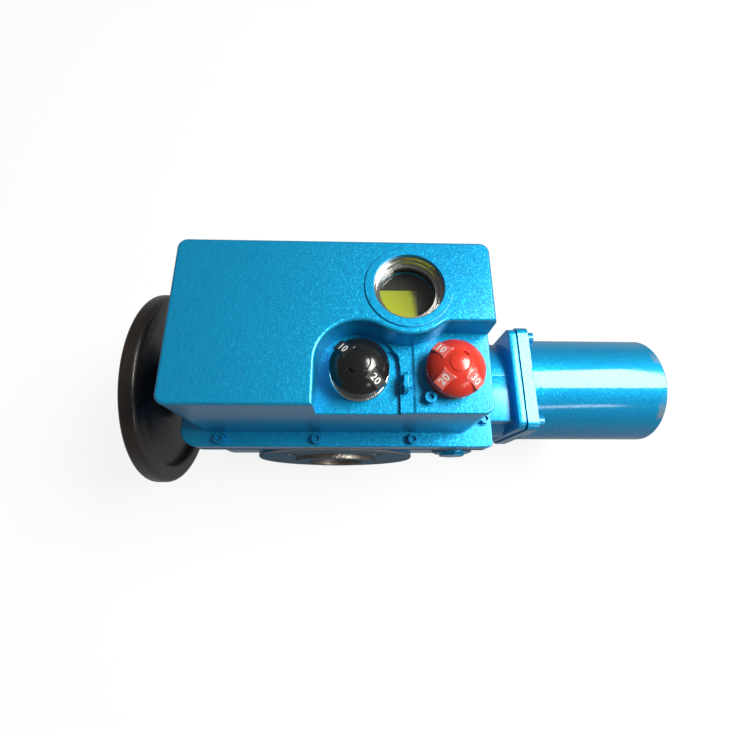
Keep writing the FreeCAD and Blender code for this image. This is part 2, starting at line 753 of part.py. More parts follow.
def housing_body():
    """The gearbox casting before it is bored."""
    flange = round_plate(FLANGE_LEFT_X, FLANGE_RIGHT_X, FLANGE_FRONT_Y, FLANGE_BACK_Y, FLANGE_CORNERS,
                         SPLIT_Z - HOUSING_FLANGE, SPLIT_Z)
    flange = soften(flange, FLANGE_EDGE, "z", SPLIT_Z - HOUSING_FLANGE)
    upper = round_plate(BLOCK_LEFT_X, BLOCK_RIGHT_X, BLOCK_FRONT_Y, CASE_END_Y,
                        (FLANGE_CORNER_LEFT,) * 4, BLOCK_BOTTOM_Z, SPLIT_Z - HOUSING_FLANGE / 2)
    upper = soften(upper, BLOCK_EDGE, "z", BLOCK_BOTTOM_Z)
    disc = soften(output_rod(0, FLANGE_THICK, FLANGE_RADIUS), DISC_EDGE, "y", 0, FLANGE_THICK)
    return flange.fuse([
        upper,
        gear_case(),
        disc,
        output_rod(-SPIGOT_HEIGHT, OVER, SPIGOT_RADIUS),
        worm_rod(BOSS_END_X, 0, BOSS_RADIUS),
        side_plate(BLOCK_RIGHT_X - PAD_DEPTH, ADAPTER_FACE_X, PAD_HALF, PLATE_CORNER),
        rod(vec(ENTRY_X, ENTRY_FACE_Y, ENTRY_Z), Y_AXIS, ENTRY_RADIUS + ENTRY_COLLAR, FAR),
    ]).removeSplitter()


def make_housing():
    """The gearbox casting: flange and tray, worm block, gear case and mounting flange."""
    tray = drafted(COVER_WALL, TRAY_Z, SPLIT_Z + OVER)
    bush_end = LOWER_BUSH_Y + LOWER_BUSH_LENGTH
    cuts = [
        tray,
        output_rod(-SPIGOT_HEIGHT - OVER, LOWER_BUSH_Y, SPIGOT_BORE),
        output_rod(LOWER_BUSH_Y - OVER, bush_end, SLEEVE_RADIUS + BUSH_WALL),
        output_rod(bush_end, CASE_END_Y + OVER, CAVITY_RADIUS),
        worm_rod(BOSS_END_X - OVER, ADAPTER_FACE_X + OVER, BEARING_RADIUS - BUSH_WALL),
        worm_rod(BOSS_END_X - OVER, -BEARING_SHOULDER, BEARING_RADIUS),
        worm_rod(BEARING_SHOULDER, ADAPTER_FACE_X + OVER, BEARING_RADIUS),
        rod(vec(ENTRY_X, ENTRY_FACE_Y - OVER, ENTRY_Z), Y_AXIS, ENTRY_THREAD, ENTRY_DEPTH),
        block(ENTRY_X - WIRE_WAY_HALF, ENTRY_X + WIRE_WAY_HALF, COVER_FRONT_Y + COVER_WALL,
              ENTRY_FACE_Y + ENTRY_DEPTH, ENTRY_Z, TRAY_Z + OVER),
    ]
    outer = BEARING_SHOULDER + BEARING_WIDTH
    for x0 in (-outer - CIRCLIP_THICK, outer):
        cuts.append(worm_rod(x0, x0 + CIRCLIP_THICK, BEARING_RADIUS + CIRCLIP_SINK))
    for side in (-1, 1):
        cuts.append(rod(vec(0, STOP_Y, STOP_SCREW_Z), X_AXIS * side, STOP_SCREW_RADIUS,
                        CASE_HALF_WIDTH + OVER))
    for angle in bolt_angles():
        start = around(BOLT_CIRCLE / 2, angle, -OVER)
        cuts.append(rod(start, Y_AXIS, BOLT_HOLE_RADIUS, BOLT_HOLE_DEPTH + OVER))
    for x, y in screw_places():
        cuts.append(upright(x, y, SPLIT_Z - SCREW_DEPTH - THREAD_SPARE, SPLIT_Z + OVER, SCREW_RADIUS))
    for x, z in ring_places(CASE_SCREW_CIRCLE, CASE_SCREW_COUNT):
        depth = CASE_SCREW_GRIP + THREAD_SPARE
        cuts.append(rod(vec(x, CASE_END_Y - depth, z), Y_AXIS, SCREW_RADIUS, depth + OVER))
    for y, z in worm_places(BOSS_SCREW_CIRCLE, BOSS_SCREW_COUNT):
        depth = BOSS_SCREW_GRIP + THREAD_SPARE + OVER
        cuts.append(rod(vec(BOSS_END_X - OVER, y, z), X_AXIS, BOSS_SCREW_RADIUS, depth))
    for y, z in square_places(ADAPTER_SCREW_HALF):
        depth = ADAPTER_SCREW_GRIP + THREAD_SPARE
        cuts.append(rod(vec(ADAPTER_FACE_X - depth, y, z), X_AXIS, PLATE_BOLT_RADIUS, depth + OVER))
    return housing_body().cut(cuts)


def worm_thread():
    """The single-start thread, swept along its helix."""
    slope = math.tan(math.radians(PRESSURE_ANGLE))
    half_root = MODULE * (math.pi / 4 + 1.25 * slope) - TOOTH_CLEARANCE
    half_tip = MODULE * (math.pi / 4 - slope) - TOOTH_CLEARANCE
    low = WORM_ROOT - TOOTH_SINK
    tip = WORM_PITCH_RADIUS + MODULE
    helix = Part.makeHelix(WORM_LEAD, WORM_LENGTH, WORM_PITCH_RADIUS)
    points = [vec(low, 0, -half_root), vec(tip, 0, -half_tip), vec(tip, 0, half_tip), vec(low, 0, half_root)]
    points.append(points[0])
    thread = Part.Wire(helix.Edges).makePipeShell([Part.makePolygon(points)], True, True)
    thread.translate(vec(0, 0, -WORM_LENGTH / 2))
    thread.rotate(ORIGIN, Y_AXIS, 90)
    thread.rotate(ORIGIN, X_AXIS, -180 * WORM_LENGTH / WORM_LEAD)
    thread.translate(vec(0, WORM_Y, WORM_Z))
    return thread


def make_worm():
    """The worm and its shaft, in one piece, from the handwheel to the coupling."""
    inner = BEARING_SHOULDER
    outer = BEARING_SHOULDER + BEARING_WIDTH + SHAFT_LAND
    half = WORM_LENGTH / 2 + WORM_RELIEF
    journal = BEARING_BORE - FIT
    collar = BEARING_BORE + BEARING_STEP
    profile = [
        (RIM_LEFT_X, 0), (RIM_LEFT_X, SHAFT_RADIUS - THREAD_STEP), (HUB_LEFT_X, SHAFT_RADIUS - THREAD_STEP),
        (HUB_LEFT_X, SHAFT_RADIUS), (-outer, SHAFT_RADIUS), (-outer, journal), (-inner, journal),
        (-inner, collar), (-half, collar), (-half, WORM_ROOT), (half, WORM_ROOT), (half, collar),
        (inner, collar), (inner, journal), (outer, journal), (outer, SHAFT_RADIUS),
        (COUPLING_X - OVER, SHAFT_RADIUS), (COUPLING_X - OVER, 0),
    ]
    shaft = revolve(profile, vec(0, WORM_Y, WORM_Z), X_AXIS, Z_AXIS)
    return shaft.fuse(worm_rod(-half, half, WORM_ROOT).fuse(worm_thread()))


def make_wheel():
    """The bronze worm wheel, its tooth gaps cut along the worm's lead angle."""
    tip = WHEEL_PITCH_RADIUS + MODULE
    root = WHEEL_PITCH_RADIUS - 1.25 * MODULE
    y0 = WORM_Y - WHEEL_WIDTH / 2
    wheel = output_tube(y0, y0 + WHEEL_WIDTH, tip, SLEEVE_RADIUS)
    flank = math.tan(math.radians(PRESSURE_ANGLE + 90.0 / WHEEL_TEETH))
    half_pitch = WORM_LEAD / 4 + TOOTH_CLEARANCE / 2
    half_low = half_pitch - (WHEEL_PITCH_RADIUS - root) * flank
    half_high = half_pitch + (MODULE + OVER) * flank
    lean = math.tan(math.atan(WORM_LEAD / (2 * math.pi * WORM_PITCH_RADIUS)))
    along = WHEEL_WIDTH + 2 * OVER
    points = [vec(-half_low, 0, root), vec(half_low, 0, root), vec(half_high, 0, tip + OVER),
              vec(-half_high, 0, tip + OVER)]
    points.append(points[0])
    section = Part.Face(Part.makePolygon(points))
    section.translate(vec(-along / 2 * lean, WORM_Y - along / 2, 0))
    gap = section.extrude(vec(along * lean, along, 0))
    cuts = []
    for tooth in range(WHEEL_TEETH):
        cut = gap.copy()
        cut.rotate(ORIGIN, Y_AXIS, 360.0 / WHEEL_TEETH * tooth)
        cuts.append(cut)
    return wheel.cut(cuts)


def make_sleeve():
    """The output sleeve with its keyed drive bore."""
    sleeve = output_rod(SLEEVE_SUNK, SLEEVE_END_Y, SLEEVE_RADIUS - FIT)
    sleeve = sleeve.cut(output_rod(0, DRIVE_BORE_LENGTH + SLEEVE_SUNK, DRIVE_BORE))
    return sleeve.cut(block(-KEYWAY_WIDTH / 2, KEYWAY_WIDTH / 2, 0, DRIVE_BORE_LENGTH + SLEEVE_SUNK,
                            0, DRIVE_BORE + KEYWAY_DEPTH))


def make_stop_cam():
    """The stop ring on the sleeve, with its lug at the closed end of the travel."""
    y0 = STOP_Y - STOP_WIDTH / 2
    ring = output_tube(y0, y0 + STOP_WIDTH, STOP_RING, SLEEVE_RADIUS)
    lug = block(-STOP_LUG_HALF, STOP_LUG_HALF, y0, y0 + STOP_WIDTH, -STOP_LUG, -SLEEVE_RADIUS - OVER)
    lug.rotate(ORIGIN, Y_AXIS, STOP_SWEEP / 2)
    return ring.fuse(lug)


def make_stops():
    """The two travel-stop screws and their lock nuts, the tips just clear of the lug at its limits."""
    tip = math.sin(math.radians(STOP_SWEEP / 2)) * (STOP_LUG + STOP_LUG_HALF) + STOP_GAP
    screws = []
    nuts = []
    for side in (-1, 1):
        axis = X_AXIS * side
        face = vec(side * CASE_HALF_WIDTH, STOP_Y, STOP_SCREW_Z)
        end = CASE_HALF_WIDTH + STOP_SCREW_PROUD
        shank = rod(vec(side * tip, STOP_Y, STOP_SCREW_Z), axis, STOP_SCREW_RADIUS - CONTACT, end - tip)
        socket = six_flats(face + axis * (STOP_SCREW_PROUD - STOP_SOCKET_DEPTH), axis, STOP_SOCKET,
                           STOP_SOCKET_DEPTH + OVER)
        screws.append(shank.cut(socket))
        nut = six_flats(face, axis, STOP_NUT_ACROSS, STOP_NUT_HEIGHT)
        nuts.append(nut.cut(rod(face, axis, STOP_SCREW_RADIUS, STOP_NUT_HEIGHT)))
    return group(screws), group(nuts)


def make_output_seal():
    """The seal that closes the output bore behind the spigot."""
    return output_tube(LOWER_BUSH_Y - SEAL_LENGTH, LOWER_BUSH_Y, SPIGOT_BORE - CONTACT, SLEEVE_RADIUS)


def output_bush(y0, length):
    """A bronze bush round the output sleeve."""
    return output_tube(y0, y0 + length, SLEEVE_RADIUS + BUSH_WALL - CONTACT, SLEEVE_RADIUS)


def make_case_cover():
    """The gear case's end cover with the upper bush seat."""
    face = CASE_END_Y + CASE_COVER_THICK
    plate = soften(output_rod(CASE_END_Y, face, CASE_COVER_RADIUS), CASE_COVER_EDGE, "y", face)
    cover = plate.fuse(output_rod(UPPER_BUSH_Y, CASE_END_Y + OVER, CAVITY_RADIUS - CONTACT))
    cuts = [output_rod(UPPER_BUSH_Y - OVER, CASE_END_Y, SLEEVE_RADIUS + BUSH_WALL)]
    for x, z in ring_places(CASE_SCREW_CIRCLE, CASE_SCREW_COUNT):
        cuts.append(rod(vec(x, CASE_END_Y - OVER, z), Y_AXIS, SCREW_RADIUS + SEAT,
                        CASE_COVER_THICK + 2 * OVER))
    return cover.cut(cuts)


def make_case_screws():
    """The gear case cover's screws."""
    screws = []
    for x, z in ring_places(CASE_SCREW_CIRCLE, CASE_SCREW_COUNT):
        base = vec(x, CASE_END_Y + CASE_COVER_THICK, z)
        screws.append(socket_screw(base, Y_AXIS, CASE_COVER_THICK + CASE_SCREW_GRIP, SCREW_RADIUS))
    return group(screws)


def make_end_cover():
    """The cover over the worm bore at the handwheel side."""
    cover = worm_rod(END_COVER_X, BOSS_END_X, BOSS_RADIUS)
    cover = cover.fuse(worm_rod(BOSS_END_X - OVER, BOSS_END_X + END_COVER_SPIGOT, BEARING_RADIUS - CONTACT))
    cuts = [worm_rod(END_COVER_X - OVER, BOSS_END_X + END_COVER_SPIGOT + OVER,
                     SHAFT_RADIUS + SHAFT_SEAL_WALL)]
    for y, z in worm_places(BOSS_SCREW_CIRCLE, BOSS_SCREW_COUNT):
        cuts.append(rod(vec(END_COVER_X - OVER, y, z), X_AXIS, BOSS_SCREW_RADIUS + SEAT,
                        END_COVER_THICK + 2 * OVER))
    return cover.cut(cuts)


def make_end_screws():
    """The end cover's screws."""
    screws = []
    for y, z in worm_places(BOSS_SCREW_CIRCLE, BOSS_SCREW_COUNT):
        screws.append(socket_screw(vec(END_COVER_X, y, z), X_AXIS * -1,
                                   END_COVER_THICK + BOSS_SCREW_GRIP, BOSS_SCREW_RADIUS))
    return group(screws)


def make_handwheel_seal():
    """The shaft seal in the end cover."""
    return worm_tube(END_COVER_X, END_COVER_X + SHAFT_SEAL_LENGTH, SHAFT_RADIUS + SHAFT_SEAL_WALL - CONTACT,
                     SHAFT_RADIUS + FIT)


def make_adapter():
    """The motor adapter: neck, flared bell and square plate."""
    neck = worm_rod(ADAPTER_FACE_X, ADAPTER_FLARE_X + OVER, NECK_RADIUS)
    flat = block(ADAPTER_FACE_X, ADAPTER_FLARE_X + OVER, WORM_Y - NECK_RADIUS, WORM_Y,
                 WORM_Z - NECK_RADIUS, WORM_Z + NECK_RADIUS)
    small = square_outline(ADAPTER_FLARE_X, NECK_RADIUS, PLATE_CORNER)
    large = square_outline(ADAPTER_PLATE_X + OVER, ADAPTER_HALF, PLATE_CORNER)
    flare = Part.makeLoft([small, large], True, True)
    plate = side_plate(ADAPTER_PLATE_X, PLATE_JOINT_X, ADAPTER_HALF, PLATE_CORNER)
    body = neck.fuse([flat, flare, plate]).removeSplitter()
    cuts = [
        worm_rod(ADAPTER_FACE_X - OVER, ADAPTER_FACE_X + ADAPTER_BASE + OVER, BEARING_RADIUS),
        worm_rod(ADAPTER_FACE_X + ADAPTER_BASE, PLATE_JOINT_X + OVER, NECK_RADIUS - NECK_WALL),
    ]
    for y, z in square_places(ADAPTER_SCREW_HALF):
        cuts.append(rod(vec(ADAPTER_FACE_X - OVER, y, z), X_AXIS, PLATE_BOLT_RADIUS + SEAT,
                        ADAPTER_BASE + 2 * OVER))
    for y, z in square_places(PLATE_BOLT_HALF):
        cuts.append(rod(vec(ADAPTER_PLATE_X, y, z), X_AXIS, PLATE_BOLT_RADIUS, ADAPTER_PLATE + OVER))
    return body.cut(cuts)


def make_adapter_screws():
    """The screws inside the adapter's bell."""
    screws = []
    for y, z in square_places(ADAPTER_SCREW_HALF):
        screws.append(socket_screw(vec(ADAPTER_FACE_X + ADAPTER_BASE, y, z), X_AXIS,
                                   ADAPTER_BASE + ADAPTER_SCREW_GRIP, PLATE_BOLT_RADIUS))
    return group(screws)


def make_motor_gasket():
    """The thin gasket between the two square plates."""
    gasket = side_plate(PLATE_JOINT_X, MOTOR_PLATE_X, ADAPTER_HALF - OVER, PLATE_CORNER)
    cuts = [worm_rod(PLATE_JOINT_X - OVER, MOTOR_PLATE_X + OVER, NECK_RADIUS - NECK_WALL)]
    for y, z in square_places(PLATE_BOLT_HALF):
        cuts.append(rod(vec(PLATE_JOINT_X - OVER, y, z), X_AXIS, PLATE_BOLT_RADIUS + SEAT,
                        2 * OVER + MOTOR_GASKET))
    return gasket.cut(cuts)


def make_motor_housing():
    """The motor's square flange and barrel, bored for the stator and the front bearing."""
    plate = side_plate(MOTOR_PLATE_X, MOTOR_FACE_X, MOTOR_HALF, PLATE_CORNER)
    barrel = soften(worm_rod(MOTOR_FACE_X - OVER, MOTOR_END_X, MOTOR_RADIUS), MOTOR_EDGE, "x", MOTOR_END_X)
    wall_x = MOTOR_FACE_X + MOTOR_FRONT_WALL
    cuts = [
        worm_rod(wall_x, MOTOR_END_X + OVER, MOTOR_BORE),
        worm_rod(MOTOR_PLATE_X - OVER, wall_x + OVER, MOTOR_BEARING_RADIUS),
    ]
    for y, z in square_places(PLATE_BOLT_HALF):
        cuts.append(rod(vec(MOTOR_PLATE_X - OVER, y, z), X_AXIS, PLATE_BOLT_RADIUS + SEAT,
                        MOTOR_PLATE + 2 * OVER))
    return plate.fuse(barrel).cut(cuts)


def make_motor_bolts():
    """The bolts through the two square plates."""
    length = MOTOR_FACE_X - ADAPTER_PLATE_X - PLATE_BOLT_FALL_SHORT
    bolts = []
    for y, z in square_places(PLATE_BOLT_HALF):
        bolts.append(socket_screw(vec(MOTOR_FACE_X, y, z), X_AXIS, length, PLATE_BOLT_RADIUS))
    return group(bolts)


def make_motor_cap():
    """The end shield inside the barrel's far end, with the rear bearing seat."""
    cap = worm_rod(CAP_X, CAP_X + CAP_THICK, MOTOR_BORE - CONTACT)
    cap = cap.fuse(worm_rod(CAP_X - MOTOR_BEARING_WIDTH, CAP_X + OVER, MOTOR_BEARING_RADIUS + MOTOR_WALL))
    cuts = [worm_rod(CAP_X - MOTOR_BEARING_WIDTH - OVER, CAP_X, MOTOR_BEARING_RADIUS)]
    for y, z in worm_places(CAP_SCREWS, CAP_SCREW_COUNT):
        cuts.append(rod(vec(CAP_X - OVER, y, z), X_AXIS, SCREW_RADIUS, CAP_THICK + 2 * OVER))
    return cap.cut(cuts)


def make_stator():
    """The stator's lamination stack in the barrel."""
    return worm_tube(STATOR_X, STATOR_X + STATOR_LENGTH, MOTOR_BORE - CONTACT, ROTOR_RADIUS + AIR_GAP)


def make_windings():
    """The winding heads at both ends of the stator."""
    heads = []
    for x0 in (STATOR_X - WINDING_LENGTH, STATOR_X + STATOR_LENGTH):
        heads.append(worm_tube(x0, x0 + WINDING_LENGTH, MOTOR_BORE - WINDING_GAP,
                               ROTOR_RADIUS + AIR_GAP + WINDING_GAP))
    return group(heads)


def bearing(x0, outer, inner, width):
    """A shielded ball bearing: its two races stand proud of the shields."""
    race = (outer - inner) / 4
    ring = worm_tube(x0, x0 + width, outer - CONTACT, inner)
    for start in (x0, x0 + width - SHIELD_DEPTH):
        ring = ring.cut(worm_tube(start, start + SHIELD_DEPTH, outer - race, inner + race))
    return ring


def make_bearings():
    """The worm's two bearings."""
    starts = (-BEARING_SHOULDER - BEARING_WIDTH, BEARING_SHOULDER)
    return group([bearing(x0, BEARING_RADIUS, BEARING_BORE, BEARING_WIDTH) for x0 in starts])


def make_circlips():
    """The rings that hold those bearings in their bores."""
    outer = BEARING_SHOULDER + BEARING_WIDTH
    rings = []
    for x0 in (-outer - CIRCLIP_THICK, outer):
        rings.append(worm_tube(x0, x0 + CIRCLIP_THICK, BEARING_RADIUS + CIRCLIP_SINK,
                               BEARING_RADIUS - CIRCLIP_GRIP))
    return group(rings)


def make_motor_bearings():
    """The motor's front and rear bearings."""
    return group([
        bearing(MOTOR_FACE_X - FRONT_BEARING_SET, MOTOR_BEARING_RADIUS, SHAFT_RADIUS, MOTOR_FRONT_BEARING),
        bearing(CAP_X - MOTOR_BEARING_WIDTH, MOTOR_BEARING_RADIUS, SHAFT_RADIUS, MOTOR_BEARING_WIDTH),
    ])


def make_handwheel():
    """The handwheel: a rounded rim, a dished solid web and a hub."""
    hub_left = HUB_SET
    hub_right = HUB_SET + HUB_LENGTH
    inner = WHEEL_RADIUS - RIM_DEPTH
    neck = HUB_RADIUS + HUB_FLARE
    profile = [
        (hub_left, SHAFT_RADIUS), (hub_left, neck), (WEB_SET, inner), (0, inner), (0, WHEEL_RADIUS),
        (RIM_WIDTH, WHEEL_RADIUS), (RIM_WIDTH, inner), (WEB_SET + WEB_THICK, inner),
        (hub_left + WEB_THICK, neck), (hub_right, HUB_RADIUS), (hub_right, SHAFT_RADIUS),
    ]
    wheel = revolve(profile, vec(RIM_LEFT_X, WORM_Y, WORM_Z), X_AXIS, Z_AXIS)
    sides = edges_at(wheel, "x", RIM_LEFT_X) + edges_at(wheel, "x", RIM_LEFT_X + RIM_WIDTH)
    wide = WORM_Z + (inner + WHEEL_RADIUS) / 2
    outer_edges = [edge for edge in sides if edge.BoundBox.ZMax > wide]
    wheel = wheel.makeFillet(RIM_ROUND, outer_edges)
    sides = edges_at(wheel, "x", RIM_LEFT_X) + edges_at(wheel, "x", RIM_LEFT_X + RIM_WIDTH)
    inner_edges = [edge for edge in sides if edge.BoundBox.ZMax < wide]
    return wheel.makeFillet(RIM_INNER_ROUND, inner_edges)


def make_wheel_nut():
    """The nut that holds the handwheel on the worm shaft."""
    start = HUB_LEFT_X - WHEEL_WASHER - WHEEL_NUT
    nut = six_flats(vec(start, WORM_Y, WORM_Z), X_AXIS, WHEEL_NUT_ACROSS, WHEEL_NUT)
    return nut.cut(worm_rod(start - OVER, HUB_LEFT_X, SHAFT_RADIUS - THREAD_STEP))


def make_wheel_washer():
    """The washer under that nut."""
    return worm_tube(HUB_LEFT_X - WHEEL_WASHER, HUB_LEFT_X, SHAFT_RADIUS + WHEEL_WASHER_WALL,
                     SHAFT_RADIUS - THREAD_STEP)


def dome(x, z, grow):
    """A knob's domed top, grown outwards by a little for what stands proud of it."""
    top = z + KNOB_RIM + KNOB_RISE
    sphere = ((KNOB_RADIUS - KNOB_EDGE) ** 2 + KNOB_RISE ** 2) / (2 * KNOB_RISE)
    ball = Part.makeSphere(sphere + grow, vec(x, KNOB_Y, top - sphere))
    return ball.common(upright(x, KNOB_Y, z, top + OVER, KNOB_RADIUS))


def knob_pad(angle):
    """A bare pad that leans out over the dome: flared and hollowed inside, square outside."""
    sphere = ((KNOB_RADIUS - KNOB_EDGE) ** 2 + KNOB_RISE ** 2) / (2 * KNOB_RISE)
    fall = sphere - math.sqrt(sphere ** 2 - KNOB_PAD_START ** 2)
    inner = KNOB_RIM + KNOB_RISE - fall + KNOB_PAD_RISE
    outer = inner - (KNOB_PAD_END - KNOB_PAD_START) * math.tan(math.radians(KNOB_PAD_LEAN))
    start = KNOB_PAD_START - KNOB_PAD_RISE
    side = [vec(start, 0, KNOB_EDGE), vec(KNOB_PAD_END, 0, KNOB_EDGE), vec(KNOB_PAD_END, 0, outer),
            vec(KNOB_PAD_START, 0, inner), vec(start, 0, inner)]
    side.append(side[0])
    slab = Part.Face(Part.makePolygon(side)).extrude(vec(0, 2 * KNOB_PAD_INNER_HALF, 0))
    slab.translate(vec(0, -KNOB_PAD_INNER_HALF, 0))
    waist = KNOB_PAD_START + KNOB_PAD_FLARE
    plan = [vec(start, -KNOB_PAD_INNER_HALF, 0), vec(waist, -KNOB_PAD_OUTER_HALF, 0),
            vec(KNOB_PAD_END, -KNOB_PAD_OUTER_HALF, 0), vec(KNOB_PAD_END, KNOB_PAD_OUTER_HALF, 0),
            vec(waist, KNOB_PAD_OUTER_HALF, 0), vec(start, KNOB_PAD_INNER_HALF, 0)]
    plan.append(plan[0])
    pad = slab.common(Part.Face(Part.makePolygon(plan)).extrude(vec(0, 0, FAR + KNOB_RISE)))
    pad = pad.cut(upright(0, 0, 0, FAR + KNOB_RISE, KNOB_PAD_START + KNOB_PAD_RISE))
    pad.rotate(ORIGIN, Z_AXIS, angle)
    return pad


def make_knob(x, z, pads, notch_angle):
    """A domed knob, hollow beneath, with a raised centre disc and raised bare pads."""
    skirt = upright(x, KNOB_Y, z, z + KNOB_RIM, KNOB_RADIUS)
    skirt = soften(skirt, KNOB_EDGE, "z", z + KNOB_RIM)
    centre = upright(x, KNOB_Y, z + KNOB_RIM, z + KNOB_RIM + FAR, KNOB_CENTRE_RADIUS)
    raised = [dome(x, z, 0), dome(x, z, KNOB_CENTRE_RISE).common(centre)]
    for angle in pads:
        pad = knob_pad(angle)
        pad.translate(vec(x, KNOB_Y, z))
        raised.append(pad.cut(upright(x, KNOB_Y, z, z + KNOB_RIM, KNOB_RADIUS - KNOB_WALL)))
    knob = skirt.fuse(raised)
    top = KNOB_RIM + KNOB_RISE
    notch = block(KNOB_NOTCH_RADIUS, KNOB_NOTCH_RADIUS + KNOB_NOTCH_LENGTH, -KNOB_NOTCH_WIDTH / 2,
                  KNOB_NOTCH_WIDTH / 2, top - KNOB_NOTCH_DEPTH, top + OVER)
    notch.rotate(ORIGIN, Z_AXIS, notch_angle)
    notch.translate(vec(x, KNOB_Y, z))
    hollow = upright_tube(x, KNOB_Y, z - OVER, z + KNOB_RIM - THREAD_STEP, KNOB_RADIUS - KNOB_WALL,
                          KNOB_SHAFT_RADIUS + KNOB_HUB_WALL)
    bore = upright(x, KNOB_Y, z - OVER, z + KNOB_RIM + THREAD_STEP, KNOB_SHAFT_RADIUS)
    return knob.cut([notch, bore, hollow])


def knob_shaft(x, z):
    """A knob's shaft, from its switch up into the knob."""
    low = BOARD_TOP_Z + SWITCH_HEIGHT - SWITCH_BORE_DEPTH + OVER
    return upright(x, KNOB_Y, low, z + KNOB_RIM + THREAD_STEP, KNOB_SHAFT_RADIUS - CONTACT)


def knob_seat(x, z, height):
    """The bright ring that a knob turns on."""
    return upright_tube(x, KNOB_Y, z, z + height, SEAT_RADIUS, KNOB_SHAFT_RADIUS + THREAD_STEP)


def make_switch(x):
    """A switch block on the control board, bored for a knob's shaft."""
    half = SWITCH_SIZE / 2
    top = BOARD_TOP_Z + SWITCH_HEIGHT
    body = block(x - half, x + half, KNOB_Y - half, KNOB_Y + half, BOARD_TOP_Z, top)
    return body.cut(upright(x, KNOB_Y, top - SWITCH_BORE_DEPTH, top + OVER, KNOB_SHAFT_RADIUS + FIT))


def make_lug():
    """The padlock lug on the strip: an upright plate with a hole, and its foot."""
    x = (POCKET_RIGHT_X + PANEL_LEFT_X) / 2 - OVER
    y = COVER_FRONT_Y + LUG_INSET_Y
    top = STRIP_Z + LUG_HEIGHT
    lug = block(x - LUG_THICK / 2, x + LUG_THICK / 2, y - LUG_WIDTH / 2, y + LUG_WIDTH / 2, STRIP_Z, top)
    ends = [edge for edge in edges_at(lug, "z", top) if edge.BoundBox.YLength < LUG_THICK]
    lug = lug.makeFillet(LUG_ROUND, ends)
    lug = soften(lug, LUG_EDGE, "x", x + LUG_THICK / 2)
    foot = block(x, PANEL_LEFT_X - SEAT, y - LUG_FOOT_WIDTH / 2, y + LUG_FOOT_WIDTH / 2, STRIP_Z,
                 STRIP_Z + LUG_FOOT_HEIGHT)
    hole = rod(vec(x - LUG_THICK, y, STRIP_Z + LUG_HOLE_HEIGHT), X_AXIS, LUG_HOLE_RADIUS, 2 * LUG_THICK)
    return lug.fuse(foot).cut(hole)


def make_plug():
    """The blanking plug in the cable entry, with a hexagonal head."""
    rim = rod(vec(ENTRY_X, ENTRY_FACE_Y - PLUG_RIM, ENTRY_Z), Y_AXIS, ENTRY_RADIUS, PLUG_RIM)
    head = six_flats(vec(ENTRY_X, ENTRY_FACE_Y - PLUG_RIM - PLUG_HEAD, ENTRY_Z), Y_AXIS, PLUG_ACROSS,
                     PLUG_RIM + PLUG_HEAD)
    thread = rod(vec(ENTRY_X, ENTRY_FACE_Y - OVER, ENTRY_Z), Y_AXIS, ENTRY_THREAD - CONTACT,
                 PLUG_THREAD_LENGTH)
    return rim.fuse([head, thread])


def make_window():
    """Gasket, glass and stepped steel ring of the sight window, from the ledge up."""
    base = WINDOW_BASE_Z + LEDGE_THICK
    outer = WINDOW_RADIUS - CONTACT
    gasket = upright_tube(WINDOW_X, WINDOW_Y, base, GLASS_Z, outer, LEDGE_RADIUS)
    bottom = GLASS_Z + GLASS_THICK
    glass = upright(WINDOW_X, WINDOW_Y, GLASS_Z, bottom, outer)
    top = COVER_TOP_Z - RING_TOP_GAP
    step = (top - bottom) / 3
    lean = outer - RING_LEAN
    profile = [
        (bottom, LEDGE_RADIUS - OVER), (bottom, outer), (top, outer), (top, outer - RING_LEAN / 2),
        (top - step, lean), (top - step, lean - RING_STEP / 2), (bottom + step, lean - RING_STEP),
        (bottom + step, LEDGE_RADIUS - OVER),
    ]
    ring = revolve(profile, vec(WINDOW_X, WINDOW_Y, 0), Z_AXIS, X_AXIS)
    return gasket, glass, ring


def make_display():
    """The display stack under the window: shroud, lit screen, module and board."""
    x0 = WINDOW_X - DISPLAY_LEFT
    x1 = WINDOW_X + DISPLAY_RIGHT
    y0 = WINDOW_Y - DISPLAY_FRONT
    y1 = WINDOW_Y + DISPLAY_BACK
    sx0 = WINDOW_X - SCREEN_LEFT
    sx1 = WINDOW_X + SCREEN_RIGHT
    sy0 = WINDOW_Y - SCREEN_FRONT
    sy1 = WINDOW_Y + SCREEN_BACK
    corners = (DISPLAY_CORNER,) * 4
    screen_top = SHROUD_Z - SCREEN_SUNK
    screen_low = screen_top - SCREEN_THICK
    module_top = SHROUD_Z - SHROUD_THICK
    module_low = module_top - MODULE_THICK
    opening = block(sx0, sx1, sy0, sy1, screen_low, SHROUD_Z + OVER)
    shroud = round_plate(x0, x1, y0, y1, corners, module_top, SHROUD_Z).cut(opening)
    screen = block(sx0 + SEAT, sx1 - SEAT, sy0 + SEAT, sy1 - SEAT, screen_low, screen_top)
    module = round_plate(x0 + OVER, x1 - OVER, y0 + OVER, y1 - OVER, corners, module_low, module_top)
    board = block(x0 - OVER, x1 + OVER, y0 - OVER, y1 + OVER, module_low - BOARD_THICK, module_low)
    posts = []
    for x in (x0 + DISPLAY_POST_INSET, x1 - DISPLAY_POST_INSET):
        for y in (y0 + DISPLAY_POST_INSET, y1 - DISPLAY_POST_INSET):
            posts.append(upright(x, y, BOARD_TOP_Z, module_low - BOARD_THICK, DISPLAY_POST_RADIUS))
    return shroud, screen, module.cut(opening), board, group(posts)


def corner_posts(x0, x1, y0, y1, inset, z0, z1, radius):
    """Four round posts inside the corners of a plate."""
    posts = []
    for x in (x0 + inset, x1 - inset):
        for y in (y0 + inset, y1 - inset):
            posts.append(upright(x, y, z0, z1, radius))
    return group(posts)


